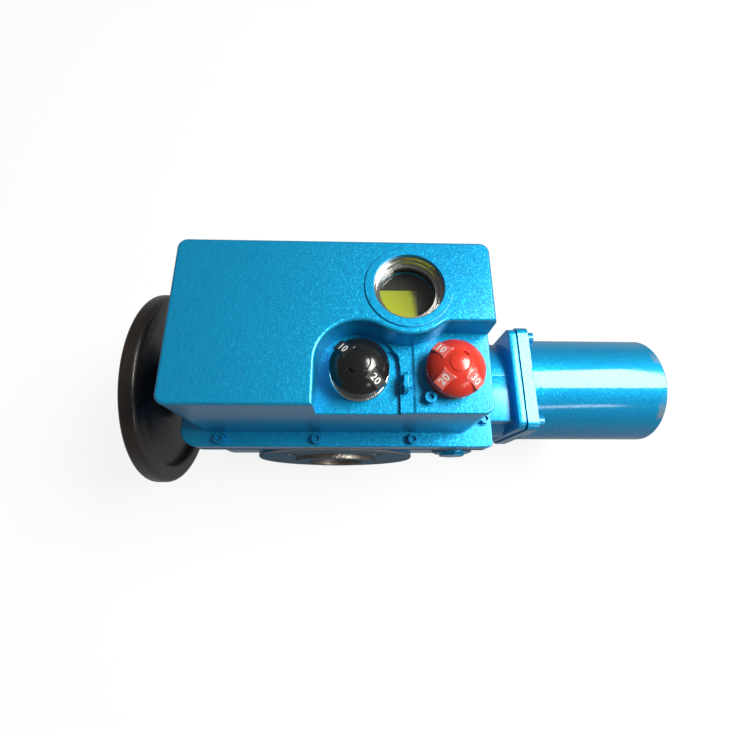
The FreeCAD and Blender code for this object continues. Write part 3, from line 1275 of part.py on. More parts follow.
def chassis_sides():
    """The chassis plate's four sides."""
    return (COVER_LEFT_X + CHASSIS_INSET, COVER_RIGHT_X - CHASSIS_INSET,
            COVER_FRONT_Y + CHASSIS_INSET, COVER_BACK_Y - CHASSIS_INSET)


def make_chassis():
    """The chassis plate over the tray, and its pillars."""
    x0, x1, y0, y1 = chassis_sides()
    low = CHASSIS_Z - CHASSIS_THICK
    plate = block(x0, x1, y0, y1, low, CHASSIS_Z)
    return plate, corner_posts(x0, x1, y0, y1, PILLAR_INSET, TRAY_Z, low, PILLAR_RADIUS)


def board_left():
    """The control board's left side."""
    return BLACK_KNOB_X - BOARD_LEFT_OF_KNOB


def make_control_board():
    """The control board under the deck, and its posts."""
    x0 = board_left()
    x1 = COVER_RIGHT_X - BOARD_INSET
    y0 = COVER_FRONT_Y + BOARD_INSET
    y1 = COVER_BACK_Y - BOARD_INSET
    board = block(x0, x1, y0, y1, CONTROL_BOARD_Z, BOARD_TOP_Z)
    return board, corner_posts(x0, x1, y0, y1, POST_INSET, CHASSIS_Z, CONTROL_BOARD_Z, POST_RADIUS)


def make_transformer():
    """The supply transformer: laminated core with its winding."""
    x0 = chassis_sides()[0] + PART_INSET
    y1 = chassis_sides()[3] - PART_INSET - WINDING_OVERHANG
    y0 = y1 - TRANSFORMER_WIDTH
    x1 = x0 + TRANSFORMER_LENGTH
    top = CHASSIS_Z + TRANSFORMER_HEIGHT
    core = block(x0, x1, y0, y1, CHASSIS_Z, top)
    winding = round_plate(x0 + PART_INSET, x1 - PART_INSET, y0 - WINDING_OVERHANG, y1 + WINDING_OVERHANG,
                          (WINDING_CORNER,) * 4, CHASSIS_Z + WINDING_OVERHANG, top - WINDING_OVERHANG)
    return core.fuse(winding)


def make_contactors():
    """The two motor contactors, one for each direction."""
    first = chassis_sides()[0] + PART_INSET
    y0 = chassis_sides()[2] + PART_INSET
    y1 = chassis_sides()[3] - PART_INSET - 2 * WINDING_OVERHANG - TRANSFORMER_WIDTH - CONTACTOR_GAP
    top = CHASSIS_Z + CONTACTOR_HEIGHT
    contactors = []
    for step in range(2):
        x0 = first + step * (CONTACTOR_LENGTH + CONTACTOR_GAP)
        x1 = x0 + CONTACTOR_LENGTH
        base = block(x0, x1, y0, y1, CHASSIS_Z, top)
        head = block(x0 + CONTACTOR_GAP, x1 - CONTACTOR_GAP, y0 + 2 * CONTACTOR_GAP, y1 - 2 * CONTACTOR_GAP,
                     top, top + CONTACTOR_TOP)
        contactors.append(base.fuse(head))
    return group(contactors)


def make_terminals():
    """The row of terminal blocks, stepped where the wires are clamped."""
    first = chassis_sides()[0] + 2 * PART_INSET + TRANSFORMER_LENGTH
    last = board_left() + POST_INSET - POST_RADIUS - PART_INSET
    pitch = (last - first) / TERMINAL_COUNT
    y1 = chassis_sides()[3] - PART_INSET
    y0 = y1 - TERMINAL_LENGTH
    top = CHASSIS_Z + TERMINAL_HEIGHT
    terminals = []
    for step in range(TERMINAL_COUNT):
        x0 = first + step * pitch
        x1 = x0 + pitch - SEAT
        piece = block(x0, x1, y0, y1, CHASSIS_Z, top)
        slot = block(x0 - OVER, x1 + OVER, y0 + TERMINAL_STEP, y1 - TERMINAL_STEP, top - TERMINAL_CUT,
                     top + OVER)
        terminals.append(piece.cut(slot))
    return group(terminals)


def make_pieces():
    """Every sub-part by name."""
    window_gasket, window_glass, window_ring = make_window()
    shroud, screen, module, display_board, display_posts = make_display()
    chassis, pillars = make_chassis()
    control_board, board_posts = make_control_board()
    stop_screws, stop_nuts = make_stops()
    return {
        "gearbox_housing": make_housing(),
        "control_cover": make_cover(),
        "cover_screws": make_cover_screws(),
        "cover_washers": make_cover_washers(),
        "window_gasket": window_gasket,
        "window_glass": window_glass,
        "window_ring": window_ring,
        "display_shroud": shroud,
        "display_screen": screen,
        "display_module": module,
        "display_board": display_board,
        "display_standoffs": display_posts,
        "chassis_plate": chassis,
        "chassis_pillars": pillars,
        "control_board": control_board,
        "board_standoffs": board_posts,
        "transformer": make_transformer(),
        "motor_contactors": make_contactors(),
        "terminal_blocks": make_terminals(),
        "black_knob": make_knob(BLACK_KNOB_X, BLACK_KNOB_Z, BLACK_PAD_ANGLES, BLACK_NOTCH_ANGLE),
        "black_knob_shaft": knob_shaft(BLACK_KNOB_X, BLACK_KNOB_Z),
        "black_knob_seat": knob_seat(BLACK_KNOB_X, POCKET_Z, BLACK_SEAT_HEIGHT),
        "red_knob": make_knob(RED_KNOB_X, RED_KNOB_Z, RED_PAD_ANGLES, RED_NOTCH_ANGLE),
        "red_knob_shaft": knob_shaft(RED_KNOB_X, RED_KNOB_Z),
        "red_knob_seat": knob_seat(RED_KNOB_X, PANEL_Z, RED_SEAT_HEIGHT),
        "black_switch": make_switch(BLACK_KNOB_X),
        "red_switch": make_switch(RED_KNOB_X),
        "padlock_lug": make_lug(),
        "cable_entry_plug": make_plug(),
        "worm_shaft": make_worm(),
        "worm_wheel": make_wheel(),
        "output_sleeve": make_sleeve(),
        "stop_cam": make_stop_cam(),
        "stop_screws": stop_screws,
        "stop_lock_nuts": stop_nuts,
        "output_seal": make_output_seal(),
        "lower_bush": output_bush(LOWER_BUSH_Y, LOWER_BUSH_LENGTH),
        "upper_bush": output_bush(UPPER_BUSH_Y, UPPER_BUSH_LENGTH),
        "gear_case_cover": make_case_cover(),
        "gear_case_screws": make_case_screws(),
        "worm_bearings": make_bearings(),
        "bearing_circlips": make_circlips(),
        "worm_end_cover": make_end_cover(),
        "worm_end_screws": make_end_screws(),
        "handwheel_seal": make_handwheel_seal(),
        "handwheel": make_handwheel(),
        "handwheel_washer": make_wheel_washer(),
        "handwheel_nut": make_wheel_nut(),
        "motor_adapter": make_adapter(),
        "adapter_screws": make_adapter_screws(),
        "motor_gasket": make_motor_gasket(),
        "motor_housing": make_motor_housing(),
        "motor_bolts": make_motor_bolts(),
        "motor_end_shield": make_motor_cap(),
        "stator": make_stator(),
        "stator_windings": make_windings(),
        "motor_rotor": worm_tube(STATOR_X, STATOR_X + STATOR_LENGTH, ROTOR_RADIUS, SHAFT_RADIUS),
        "motor_shaft": worm_rod(COUPLING_X + OVER, CAP_X - OVER, SHAFT_RADIUS - FIT),
        "shaft_coupling": worm_tube(COUPLING_X - COUPLING_HALF, COUPLING_X + COUPLING_HALF,
                                    SHAFT_RADIUS + COUPLING_WALL, SHAFT_RADIUS),
        "motor_bearings": make_motor_bearings(),
    }


def build():
    """Make and save every sub-part."""
    os.makedirs("parts", exist_ok=True)
    for name, shape in make_pieces().items():
        if not shape.isValid():
            raise ValueError(name + " is not a valid solid")
        shape.exportStep(os.path.join("parts", name + ".step"))
        print(name, "solids", len(shape.Solids), "volume cm3", round(shape.Volume / 1000, 2))


build()
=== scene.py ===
import json
import math

import bpy
from mathutils import Matrix, Vector


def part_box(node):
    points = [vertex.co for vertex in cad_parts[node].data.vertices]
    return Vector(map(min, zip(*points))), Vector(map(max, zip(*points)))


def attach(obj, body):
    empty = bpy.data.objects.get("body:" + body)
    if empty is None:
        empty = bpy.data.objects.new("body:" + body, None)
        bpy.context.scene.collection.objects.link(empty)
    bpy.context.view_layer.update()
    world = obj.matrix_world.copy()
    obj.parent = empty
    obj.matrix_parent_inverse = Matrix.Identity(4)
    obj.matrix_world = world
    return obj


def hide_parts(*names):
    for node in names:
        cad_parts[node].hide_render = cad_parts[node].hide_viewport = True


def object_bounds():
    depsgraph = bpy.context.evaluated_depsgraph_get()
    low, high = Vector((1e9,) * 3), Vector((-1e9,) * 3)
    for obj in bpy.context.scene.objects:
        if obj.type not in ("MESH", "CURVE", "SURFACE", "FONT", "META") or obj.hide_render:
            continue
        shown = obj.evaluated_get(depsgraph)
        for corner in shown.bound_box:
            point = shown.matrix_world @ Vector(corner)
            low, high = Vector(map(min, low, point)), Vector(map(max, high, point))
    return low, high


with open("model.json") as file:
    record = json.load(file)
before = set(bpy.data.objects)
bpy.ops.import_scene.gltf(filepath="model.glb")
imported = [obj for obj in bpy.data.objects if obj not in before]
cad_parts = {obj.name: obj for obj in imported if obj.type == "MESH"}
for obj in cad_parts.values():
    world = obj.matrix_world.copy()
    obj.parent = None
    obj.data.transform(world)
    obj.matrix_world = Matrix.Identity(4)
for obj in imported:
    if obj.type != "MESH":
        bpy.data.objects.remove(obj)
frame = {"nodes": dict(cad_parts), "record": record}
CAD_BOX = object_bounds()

bl_info = {
    "name": "Quarter-turn actuator",
    "version": (1, 0, 0),
    "blender": (4, 5, 0),
    "location": "3D View > Sidebar > Actuator",
    "description": "Paint, knobs, motor adapter, fittings and studio",
    "category": "Object",
}

SLOTS = {part["node"]: part["material_slot"] for part in frame["record"]["subparts"]}

# Each knob's body, the angle of its notch, how full it is against the sizes below, and its pads:
# the angle, the number on it, and whether that number reads outwards.
KNOBS = {
    "black_knob": ("black_selector", 225, 1.03, ((135, "10", False), (315, "20", True))),
    "red_knob": ("red_selector", 55, 1.0,
                 ((135, "10", False), (225, "20", False), (315, "30", True))),
}

NEAR = 0.0001      # A distance too small to matter, in metres.
OVERLAP = 0.001    # How far a cutter or a joined piece runs past the face it meets.
WHITE = (1.0, 1.0, 1.0, 1.0)
TO_X = (0.0, math.pi / 2, 0.0)    # Turns a piece, or a pattern, from Z to X.


def tint(name, description, default):
    """A linear colour without alpha."""
    return bpy.props.FloatVectorProperty(
        name=name, description=description, default=default, subtype="COLOR", size=3, min=0.0,
        max=1.0)


def number(**options):
    """A maker of settings that are numbers from 0 up, with the same options."""
    def setting(name, description, default):
        return bpy.props.FloatProperty(name=name, description=description, default=default,
                                       min=0.0, **options)
    return setting


length = number(subtype="DISTANCE", unit="LENGTH", precision=5)
slant = number(subtype="ANGLE")
ratio = number(max=1.0, subtype="FACTOR")
watts = number(subtype="POWER", unit="POWER")
focus = number(subtype="DISTANCE_CAMERA")


class ActuatorPaint(bpy.types.PropertyGroup):
    """Colours and paint qualities of the actuator."""
    enamel: tint("Enamel", "Enamel on the castings and the motor", (0.004, 0.365, 0.70))
    enamel_deep: tint("Enamel shade", "Tone that the enamel drifts to", (0.003, 0.28, 0.575))
    enamel_metal: ratio("Flake share", "Share of light from metal flake", 0.50)
    enamel_rough: ratio("Flake roughness", "Roughness of the layer that holds flake", 0.46)
    lacquer: ratio("Lacquer", "Weight of the clear lacquer over the enamel", 0.85)
    # Bare turned metal whose warm brownish tint is a painted reflection of a brown floor.
    turned: tint("Turned face", "Bare face of the mounting disc", (0.46, 0.39, 0.33))
    chipped: tint("Chips", "What shows where the motor's rim is chipped", (0.30, 0.34, 0.36))
    black_enamel: tint("Handwheel enamel", "Black on the handwheel", (0.011, 0.008, 0.0075))
    # Colour of the brownish specks on the handwheel's black.
    brown_specks: tint("Dust", "Specks of dust on the handwheel", (0.09, 0.08, 0.07))
    black_plastic: tint("Black knob", "Moulding of the black knob", (0.010, 0.010, 0.011))
    black_pad: tint("Black pads", "Worn pads of the black knob", (0.014, 0.015, 0.017))
    red_plastic: tint("Red knob", "Moulding of the red knob", (0.80, 0.045, 0.024))
    red_pad: tint("Red pads", "Worn pads of the red knob", (0.86, 0.155, 0.135))
    marks: tint("Numbers", "Filled numbers on the knob pads", (0.86, 0.84, 0.84))
    steel: tint("Steel", "Stainless and zinc-plated steel", (0.60, 0.59, 0.57))
    # The display field is painted light: it glows in place of lamp light through the glass, and its
    # upper right end is painted shade.
    screen: tint("Screen", "Lit field of the display", (0.42, 0.45, 0.012))
    screen_painted_shade: tint("Screen shade", "Unlit end of that field", (0.040, 0.030, 0.016))
    screen_glow: ratio("Screen glow", "Strength of the display's own light", 0.75)


class ActuatorMarks(bpy.types.PropertyGroup):
    """Sizes of the numbers and of the end shield's screws."""
    digit: length("Digit height", "Type size of the numbers on the knobs", 0.0088)
    digit_weight: length("Digit weight", "How much the strokes are thickened", 0.00018)
    digit_thick: length("Digit thickness", "How far the numbers stand proud", 0.00012)
    digit_place: length("Digit place", "Radius at which a number stands", 0.0190)
    screw_head: length("Screw head", "Radius of the screw heads", 0.0050)
    screw_rise: length("Screw rise", "Height of those heads, half of it sunk", 0.0034)


class ActuatorKnobs(bpy.types.PropertyGroup):
    """Sizes of the domed selector knobs and of the ring under the black one."""
    ball: length("Dome radius", "Radius of a knob's domed top", 0.030)
    shoulder: length("Shoulder", "Radius at which the dome turns down", 0.0252)
    widest: length("Widest", "Largest radius of a knob", 0.0261)
    foot: length("Foot", "Radius of a knob at its underside", 0.0232)
    disc: length("Centre disc", "Radius of the disc at a knob's crown", 0.0085)
    disc_rise: length("Disc rise", "How far that disc stands proud", 0.0006)
    pad_start: length("Pad start", "Radius of a pad's inner end", 0.0122)
    pad_waist: length("Pad waist", "Radius at which its flare ends", 0.0166)
    pad_end: length("Pad end", "Radius of a pad's outer end", 0.0258)
    pad_half: length("Pad half width", "Half the width of a pad outside its flare", 0.0050)
    pad_flare: length("Pad flare", "Half the width of a pad at its inner end", 0.0069)
    pad_rise: length("Pad rise", "How far its inner end stands proud", 0.0002)
    pad_lean: slant("Pad lean", "How steeply a pad falls outwards", math.radians(29.0))
    grain: length("Blend size", "Cell size that blends its edges", 0.00042)
    ring: length("Ring radius", "Radius of the black knob's ring", 0.0270)
    ring_bevel: length("Ring bevel", "Bevel on that ring's upper edge", 0.0019)


class ActuatorAdapter(bpy.types.PropertyGroup):
    """Sizes of the motor adapter."""
    drum: length("Drum radius", "Radius of the round neck, upwards", 0.0500)
    drum_wide: length("Drum half width", "Half the neck's width, front to back", 0.0575)
    drum_drop: length("Drum drop", "How far the drum sits below the worm's axis", 0.0040)
    flat_rise: length("Flat rise", "How far the flat stands proud of the drum", 0.0005)
    flat_low: length("Flat width", "Its lower edge, from the worm's axis", 0.0480)
    flat_high: length("Flat overlap", "Its upper edge, from that axis", 0.0035)
    plate: length("Plate thickness", "Thickness of the square plate", 0.0090)
    corner: length("Plate corner", "Radius of the plate's corners", 0.0090)
    edge: length("Edge", "Small bevel on cast edges", 0.0008)
    wall: length("Wall", "Least wall of the drum round its bore", 0.0050)
    floor: length("Base", "Thickness of the adapter's base", 0.0100)
    bore: length("Bearing bore", "Radius of the bore in the base", 0.0260)


class ActuatorStage(bpy.types.PropertyGroup):
    """Floor, surround, lamps and camera."""
    floor: tint("Floor", "Floor colour", (0.14, 0.14, 0.14))
    floor_size: length("Floor size", "Half the floor's width", 8.0)
    lift: ratio("Floor lift", "White added where it is seen", 0.88)
    mirror: ratio("Floor in mirrors", "Share of that white in gloss", 0.28)
    ambient: ratio("Ambient", "Plain light from all round", 0.085)
    horizon: ratio("Horizon", "Surround that glossy faces mirror low down", 0.20)
    ceiling: ratio("Ceiling", "Dim ceiling that glossy faces mirror", 0.16)
    key: watts("Key lamp", "Power of the lamp at the right", 63.0)
    fill: watts("Fill lamp", "Power of the long lamp in front", 1.3)
    lens: focus("Lens", "Focal length on a 36 mm frame", 20.731)


def chosen(group):
    """The values that the scene holds for a group of settings."""
    return getattr(bpy.context.scene, "actuator_" + group)


def set_all(thing, **values):
    """Several settings of one thing."""
    for name, value in values.items():
        setattr(thing, name, value)


def join_or_set(tree, socket, value):
    """Feed a socket from another one, or give it a plain value."""
    if isinstance(value, bpy.types.NodeSocket):
        tree.links.new(value, socket)
    else:
        socket.default_value = value


def add(tree, kind, inputs=None, **settings):
    """A node with its settings, sockets filled with values or joined to other nodes."""
    node = tree.nodes.new(kind)
    set_all(node, **settings)
    for name, value in (inputs or {}).items():
        join_or_set(tree, node.inputs[name], value)
    return node


def maths(tree, operation, *values, clamp=False):
    """One sum, from its operands to its result."""
    inputs = dict(enumerate(values))
    return add(tree, "ShaderNodeMath", inputs, operation=operation, use_clamp=clamp).outputs[0]


def times(tree, first, second, clamp=False):
    """One product."""
    return maths(tree, "MULTIPLY", first, second, clamp=clamp)


def vector_maths(tree, operation, *values):
    """One sum on vectors, from its operands to its result."""
    node = add(tree, "ShaderNodeVectorMath", dict(enumerate(values)), operation=operation)
    return node.outputs["Value" if operation == "DOT_PRODUCT" else "Vector"]


def scaled(tree, value, factor, base):
    """A value times a factor, plus a base."""
    return maths(tree, "ADD", times(tree, value, factor), base)


def object_place(tree):
    """The place of a point in its object, which is its place in the world at rest."""
    return add(tree, "ShaderNodeTexCoord").outputs["Object"]


def level_along(tree, axis, place):
    """One coordinate of a place."""
    return add(tree, "ShaderNodeSeparateXYZ", {"Vector": place}).outputs[axis]


def noise(tree, vector, scale, detail=2.0, rough=0.5):
    """Noise from about 0 to 1."""
    inputs = {"Vector": vector, "Scale": scale, "Detail": detail, "Roughness": rough}
    return add(tree, "ShaderNodeTexNoise", inputs).outputs["Fac"]


def ramp(tree, value, low, high, start=0.0, end=1.0):
    """A value stretched so that low becomes the start and high the end."""
    inputs = {"Value": value, "From Min": low, "From Max": high, "To Min": start, "To Max": end}
    return add(tree, "ShaderNodeMapRange", inputs).outputs["Result"]


def opaque(colour):
    """A colour with its alpha, or a socket as it is."""
    return colour if isinstance(colour, bpy.types.NodeSocket) else (*colour[:3], 1.0)


def feed(node, **sockets):
    """A node's named sockets joined to nodes or given plain values."""
    for label, value in sockets.items():
        value = opaque(value) if hasattr(value, "__len__") else value
        join_or_set(node.id_data, node.inputs[label.replace("_", " ")], value)


def blend_colours(tree, share, first, second):
    """Two colours mixed by a share."""
    return add(tree, "ShaderNodeMix", {0: share, 6: opaque(first), 7: opaque(second)},
               data_type="RGBA").outputs[2]


def node_group(name, inputs, outputs):
    """An empty node group: inputs with their first values, outputs with their kinds."""
    tree = bpy.data.node_groups.new(name, "ShaderNodeTree")
    for label, value in inputs.items():
        kind = {3: "Vector", 4: "Color"}[len(value)] if isinstance(value, tuple) else "Float"
        socket = tree.interface.new_socket(label, in_out="INPUT", socket_type="NodeSocket" + kind)
        socket.default_value = value
    for label, kind in outputs.items():
        tree.interface.new_socket(label, in_out="OUTPUT", socket_type="NodeSocket" + kind)
    given = tree.nodes.new("NodeGroupInput").outputs
    return tree, given, tree.nodes.new("NodeGroupOutput")


def flake_group():
    """Metal flake: each small cell of the paint leans its own way."""
    tree, given, result = node_group("Metal flake", {"Scale": 1700.0, "Tilt": 0.30},
                                     {"Normal": "Vector", "Shade": "Float"})
    cells = add(tree, "ShaderNodeTexVoronoi",
                {"Vector": object_place(tree), "Scale": given["Scale"]}).outputs["Color"]
    leaning = vector_maths(tree, "SUBTRACT", cells, (0.5, 0.5, 0.5))
    leaning = add(tree, "ShaderNodeVectorMath", {0: leaning, "Scale": given["Tilt"]},
                  operation="SCALE").outputs["Vector"]
    surface = add(tree, "ShaderNodeNewGeometry").outputs["Normal"]
    facing = vector_maths(tree, "NORMALIZE", vector_maths(tree, "ADD", leaning, surface))
    split = add(tree, "ShaderNodeSeparateColor", {"Color": cells})
    feed(result, Normal=facing, Shade=split.outputs["Red"])
    return tree


def peel_group():
    """Orange peel: the small ripple of sprayed paint over the casting's own waviness."""
    tree, given, result = node_group(
        "Orange peel", {"Ripple": 330.0, "Wave": 45.0, "Wave share": 0.6}, {"Height": "Float"})
    place = object_place(tree)
    ripple = noise(tree, place, given["Ripple"], 1.0)
    wave = times(tree, noise(tree, place, given["Wave"]), given["Wave share"])
    feed(result, Height=maths(tree, "ADD", ripple, wave))
    return tree


def drift_group():
    """Slow drift between two tones, with finer mottling."""
    tree, given, result = node_group(
        "Tone drift",
        {"Light": (0.8, 0.8, 0.8, 1.0), "Dark": (0.4, 0.4, 0.4, 1.0), "Scale": 9.0, "Amount": 0.5},
        {"Color": "Color", "Mask": "Float"})
    slow_share, finer = 0.75, 14.0
    place = object_place(tree)
    slow = noise(tree, place, given["Scale"], 3.0)
    fine = noise(tree, place, times(tree, given["Scale"], finer), 3.0)
    slow = times(tree, slow, slow_share)
    fine = times(tree, fine, 1.0 - slow_share)
    mask = ramp(tree, maths(tree, "ADD", slow, fine), 0.36, 0.64)
    share = times(tree, mask, given["Amount"], clamp=True)
    feed(result, Color=blend_colours(tree, share, given["Light"], given["Dark"]), Mask=mask)
    return tree


def turned_group():
    """Turning marks: fine rings about a piece's own axis."""
    tree, given, result = node_group(
        "Turning marks", {"Vector": (0.0, 0.0, 0.0), "Pitch": 500.0},
        {"Height": "Float", "Mask": "Float"})
    inputs = {"Vector": given["Vector"], "Scale": given["Pitch"], "Distortion": 1.5,
              "Detail": 3.0, "Detail Scale": 2.0}
    wave = add(tree, "ShaderNodeTexWave", inputs, wave_type="RINGS", rings_direction="Z")
    streak = noise(tree, given["Vector"], 700.0)
    feed(result, Height=maths(tree, "ADD", wave.outputs["Fac"], streak), Mask=streak)
    return tree


def speck_group():
    """Specks: small scattered marks, such as dust, pits and moulding grain."""
    tree, given, result = node_group("Specks", {"Scale": 260.0, "Amount": 0.2},
                                     {"Mask": "Float", "Height": "Float"})
    least, most, softness = 0.78, 0.35, 0.05
    spread = noise(tree, object_place(tree), given["Scale"], 4.0, 0.65)
    edge = maths(tree, "SUBTRACT", least, times(tree, given["Amount"], most))
    mask = ramp(tree, spread, edge, maths(tree, "ADD", edge, softness))
    feed(result, Mask=mask, Height=spread)
    return tree


GROUPS = {}


def place_group(tree, maker, **inputs):
    """A shared group placed in a material, made when it is first asked for."""
    if maker not in GROUPS:
        GROUPS[maker] = maker()
    node = tree.nodes.new("ShaderNodeGroup")
    node.node_tree = GROUPS[maker]
    feed(node, **inputs)
    return node.outputs


def tone_drift(tree, light, dark, scale, amount):
    """The tone drift group between two colours."""
    return place_group(tree, drift_group, Light=light, Dark=dark, Scale=scale, Amount=amount)


def start_material(name, **sockets):
    """A material with one surface shader, its plain sockets set."""
    material = bpy.data.materials.new(name)
    material.use_nodes = True
    tree = material.node_tree
    shader = tree.nodes["Principled BSDF"]
    feed(shader, **sockets)
    return material, tree, shader


def bump(shader, height, strength, distance, normal=None):
    """Relief on a shader's normal."""
    inputs = {"Height": height, "Strength": strength, "Distance": distance}
    if normal is not None:
        inputs["Normal"] = normal
    feed(shader, Normal=add(shader.id_data, "ShaderNodeBump", inputs).outputs["Normal"])


def darker(colour, share):
    """A colour at a share of its brightness."""
    return tuple(value * share for value in colour)


def enamel(name, light, dark, rough, peel=1.0, sparkle=0.20, gloss=0.20, chips=None, turned=None):
    """Metallic enamel under lacquer, with paler flakes as painted glint; chipped past a level along
    X, or turned bare below one on Y with a warm painted reflection.
    """
    paint = chosen("paint")
    material, tree, shader = start_material(name, Coat_Weight=paint.lacquer, Coat_Roughness=gloss,
                                            Specular_IOR_Level=0.15, Specular_Tint=dark)
    drift = tone_drift(tree, light, dark, 7.0, 0.8)
    flake = place_group(tree, flake_group, Scale=1300.0, Tilt=sparkle)
    height = place_group(tree, peel_group, Ripple=320.0, Wave=40.0, Wave_share=0.8)["Height"]
    # Random flake cells: they raise the metal share, and their paler base colour is a painted
    # glint.
    flake_and_painted_glint = ramp(tree, flake["Shade"], 0.80, 1.0)
    painted_glint_colour = tuple(min(1.0, 1.6 * value + 0.06) for value in light)
    colour = blend_colours(tree, times(tree, flake_and_painted_glint, 0.24), drift["Color"], painted_glint_colour)
    metallic = scaled(tree, flake_and_painted_glint, 0.5, paint.enamel_metal)
    roughness = scaled(tree, drift["Mask"], 0.10, rough)
    bare = None
    # Below a level on Y the disc is bare turned metal; its warm colour is partly the metal, partly
    # a painted reflection.
    if turned is not None:
        beneath = paint.turned
        bare = maths(tree, "LESS_THAN", level_along(tree, "Y", object_place(tree)), turned)
        metallic = maths(tree, "MAXIMUM", metallic, bare)
        roughness = maths(tree, "SUBTRACT", roughness, times(tree, bare, 0.18))
    if chips is not None:
        beneath = paint.chipped
        place, spread = object_place(tree), 0.009
        ragged = scaled(tree, noise(tree, place, 260.0, 4.0, 0.7), spread,
                        level_along(tree, "X", place))
        patches = ramp(tree, noise(tree, place, 22.0), 0.50, 0.62)
        bare = times(tree, maths(tree, "GREATER_THAN", ragged, chips), patches)
        roughness = maths(tree, "MAXIMUM", roughness, times(tree, bare, 0.55))
    if bare is not None:
        colour = blend_colours(tree, bare, colour, beneath)
        clear = maths(tree, "SUBTRACT", 1.0, bare)
        feed(shader, Coat_Weight=times(tree, clear, paint.lacquer))
    feed(shader, Metallic=metallic, Base_Color=colour, Roughness=roughness)
    bump(shader, height, 0.35 * peel, 0.0006, flake["Normal"])
    return material


def black_enamel(name, colour, brown_specks):
    """Semi-gloss black over a casting, drifting to brownish patches with brownish specks."""
    material, tree, shader = start_material(name, Coat_Weight=0.25, Coat_Roughness=0.18)
    brownish = tuple(value + extra for value, extra in zip(colour, (0.026, 0.017, 0.013)))
    drift = tone_drift(tree, colour, brownish, 16.0, 0.7)
    speck = place_group(tree, speck_group, Scale=420.0, Amount=0.25)
    tone = blend_colours(tree, times(tree, speck["Mask"], 0.5), drift["Color"], brown_specks)
    feed(shader, Base_Color=tone, Roughness=scaled(tree, drift["Mask"], 0.16, 0.27))
    peel = place_group(tree, peel_group, Ripple=420.0, Wave=60.0, Wave_share=0.6)
    bump(shader, peel["Height"], 0.30, 0.0006)
    return material


def moulding(name, colour, rough, coat=0.0, grain=1500.0, relief=0.04):
    """Moulded plastic with a faint flow pattern and fine grain."""
    material, tree, shader = start_material(name, Coat_Weight=coat, Coat_Roughness=0.14)
    drift = tone_drift(tree, colour, darker(colour, 0.78), 45.0, 0.6)
    speck = place_group(tree, speck_group, Scale=grain, Amount=0.3)
    wear = scaled(tree, speck["Mask"], 0.20, rough)
    feed(shader, Base_Color=drift["Color"], Roughness=wear)
    bump(shader, speck["Height"], relief, 0.0003)
    return material


def knob_moulding(shade, rough):
    """A knob's plastic, paler and more matt on its pads."""
    node, paint = shade + "_knob", chosen("paint")
    fresh, pale = getattr(paint, shade + "_plastic"), getattr(paint, shade + "_pad")
    material = moulding(shade.title() + " knob", fresh, rough, 0.35)
    tree = material.node_tree
    shader = tree.nodes["Principled BSDF"]
    sizes = chosen("knobs")
    from_axis = vector_maths(tree, "SUBTRACT", object_place(tree), middle(node))
    pads = 0.0
    for angle, *_ in KNOBS[node][-1]:
        turn = math.radians(angle)
        radial = (math.cos(turn), math.sin(turn), 0.0)
        across = (-math.sin(turn), math.cos(turn), 0.0)
        along = vector_maths(tree, "DOT_PRODUCT", from_axis, radial)
        side = vector_maths(tree, "DOT_PRODUCT", from_axis, across)
        flare = ramp(tree, along, sizes.pad_waist, sizes.pad_start)
        reach = scaled(tree, flare, sizes.pad_flare - sizes.pad_half, sizes.pad_half)
        inside = maths(tree, "LESS_THAN", maths(tree, "ABSOLUTE", side), reach)
        past = maths(tree, "GREATER_THAN", along, sizes.pad_start)
        pads = maths(tree, "MAXIMUM", pads, times(tree, inside, past))
    labels = ("Base Color", "Roughness")
    colour, roughness = (shader.inputs[label].links[0].from_socket for label in labels)
    feed(shader, Base_Color=blend_colours(tree, pads, colour, pale),
         Roughness=scaled(tree, pads, 0.22, roughness))
    return material


def machined(name, colour, rough, centre=(0.0, 0.0, 0.0), turn=(0.0, 0.0, 0.0), pitch=420.0):
    """Bare or plated metal with turning marks about an axis."""
    material, tree, shader = start_material(name, Metallic=1.0)
    inputs = {"Vector": object_place(tree), "Location": centre, "Rotation": turn}
    mapped = add(tree, "ShaderNodeMapping", inputs)
    marks = place_group(tree, turned_group, Vector=mapped.outputs["Vector"], Pitch=pitch)
    feed(shader, Base_Color=blend_colours(tree, marks["Mask"], colour, darker(colour, 0.72)),
         Roughness=scaled(tree, marks["Mask"], 0.16, rough))
    bump(shader, marks["Height"], 0.16, 0.0002)
    return material


def stacked(name, colour, dark, pitch, metallic, rough):
    """Laminations or windings: fine bands along X."""
    material, tree, shader = start_material(name, Metallic=metallic)
    inputs = {"Vector": object_place(tree), "Scale": pitch, "Distortion": 0.6, "Detail": 2.0}
    bands = add(tree, "ShaderNodeTexWave", inputs, wave_type="BANDS", bands_direction="X")
    bands = bands.outputs["Fac"]
    speck = place_group(tree, speck_group, Scale=500.0, Amount=0.3)
    feed(shader, Base_Color=blend_colours(tree, bands, colour, dark),
         Roughness=scaled(tree, speck["Height"], 0.2, rough))
    bump(shader, bands, 0.4, 0.0004)
    return material


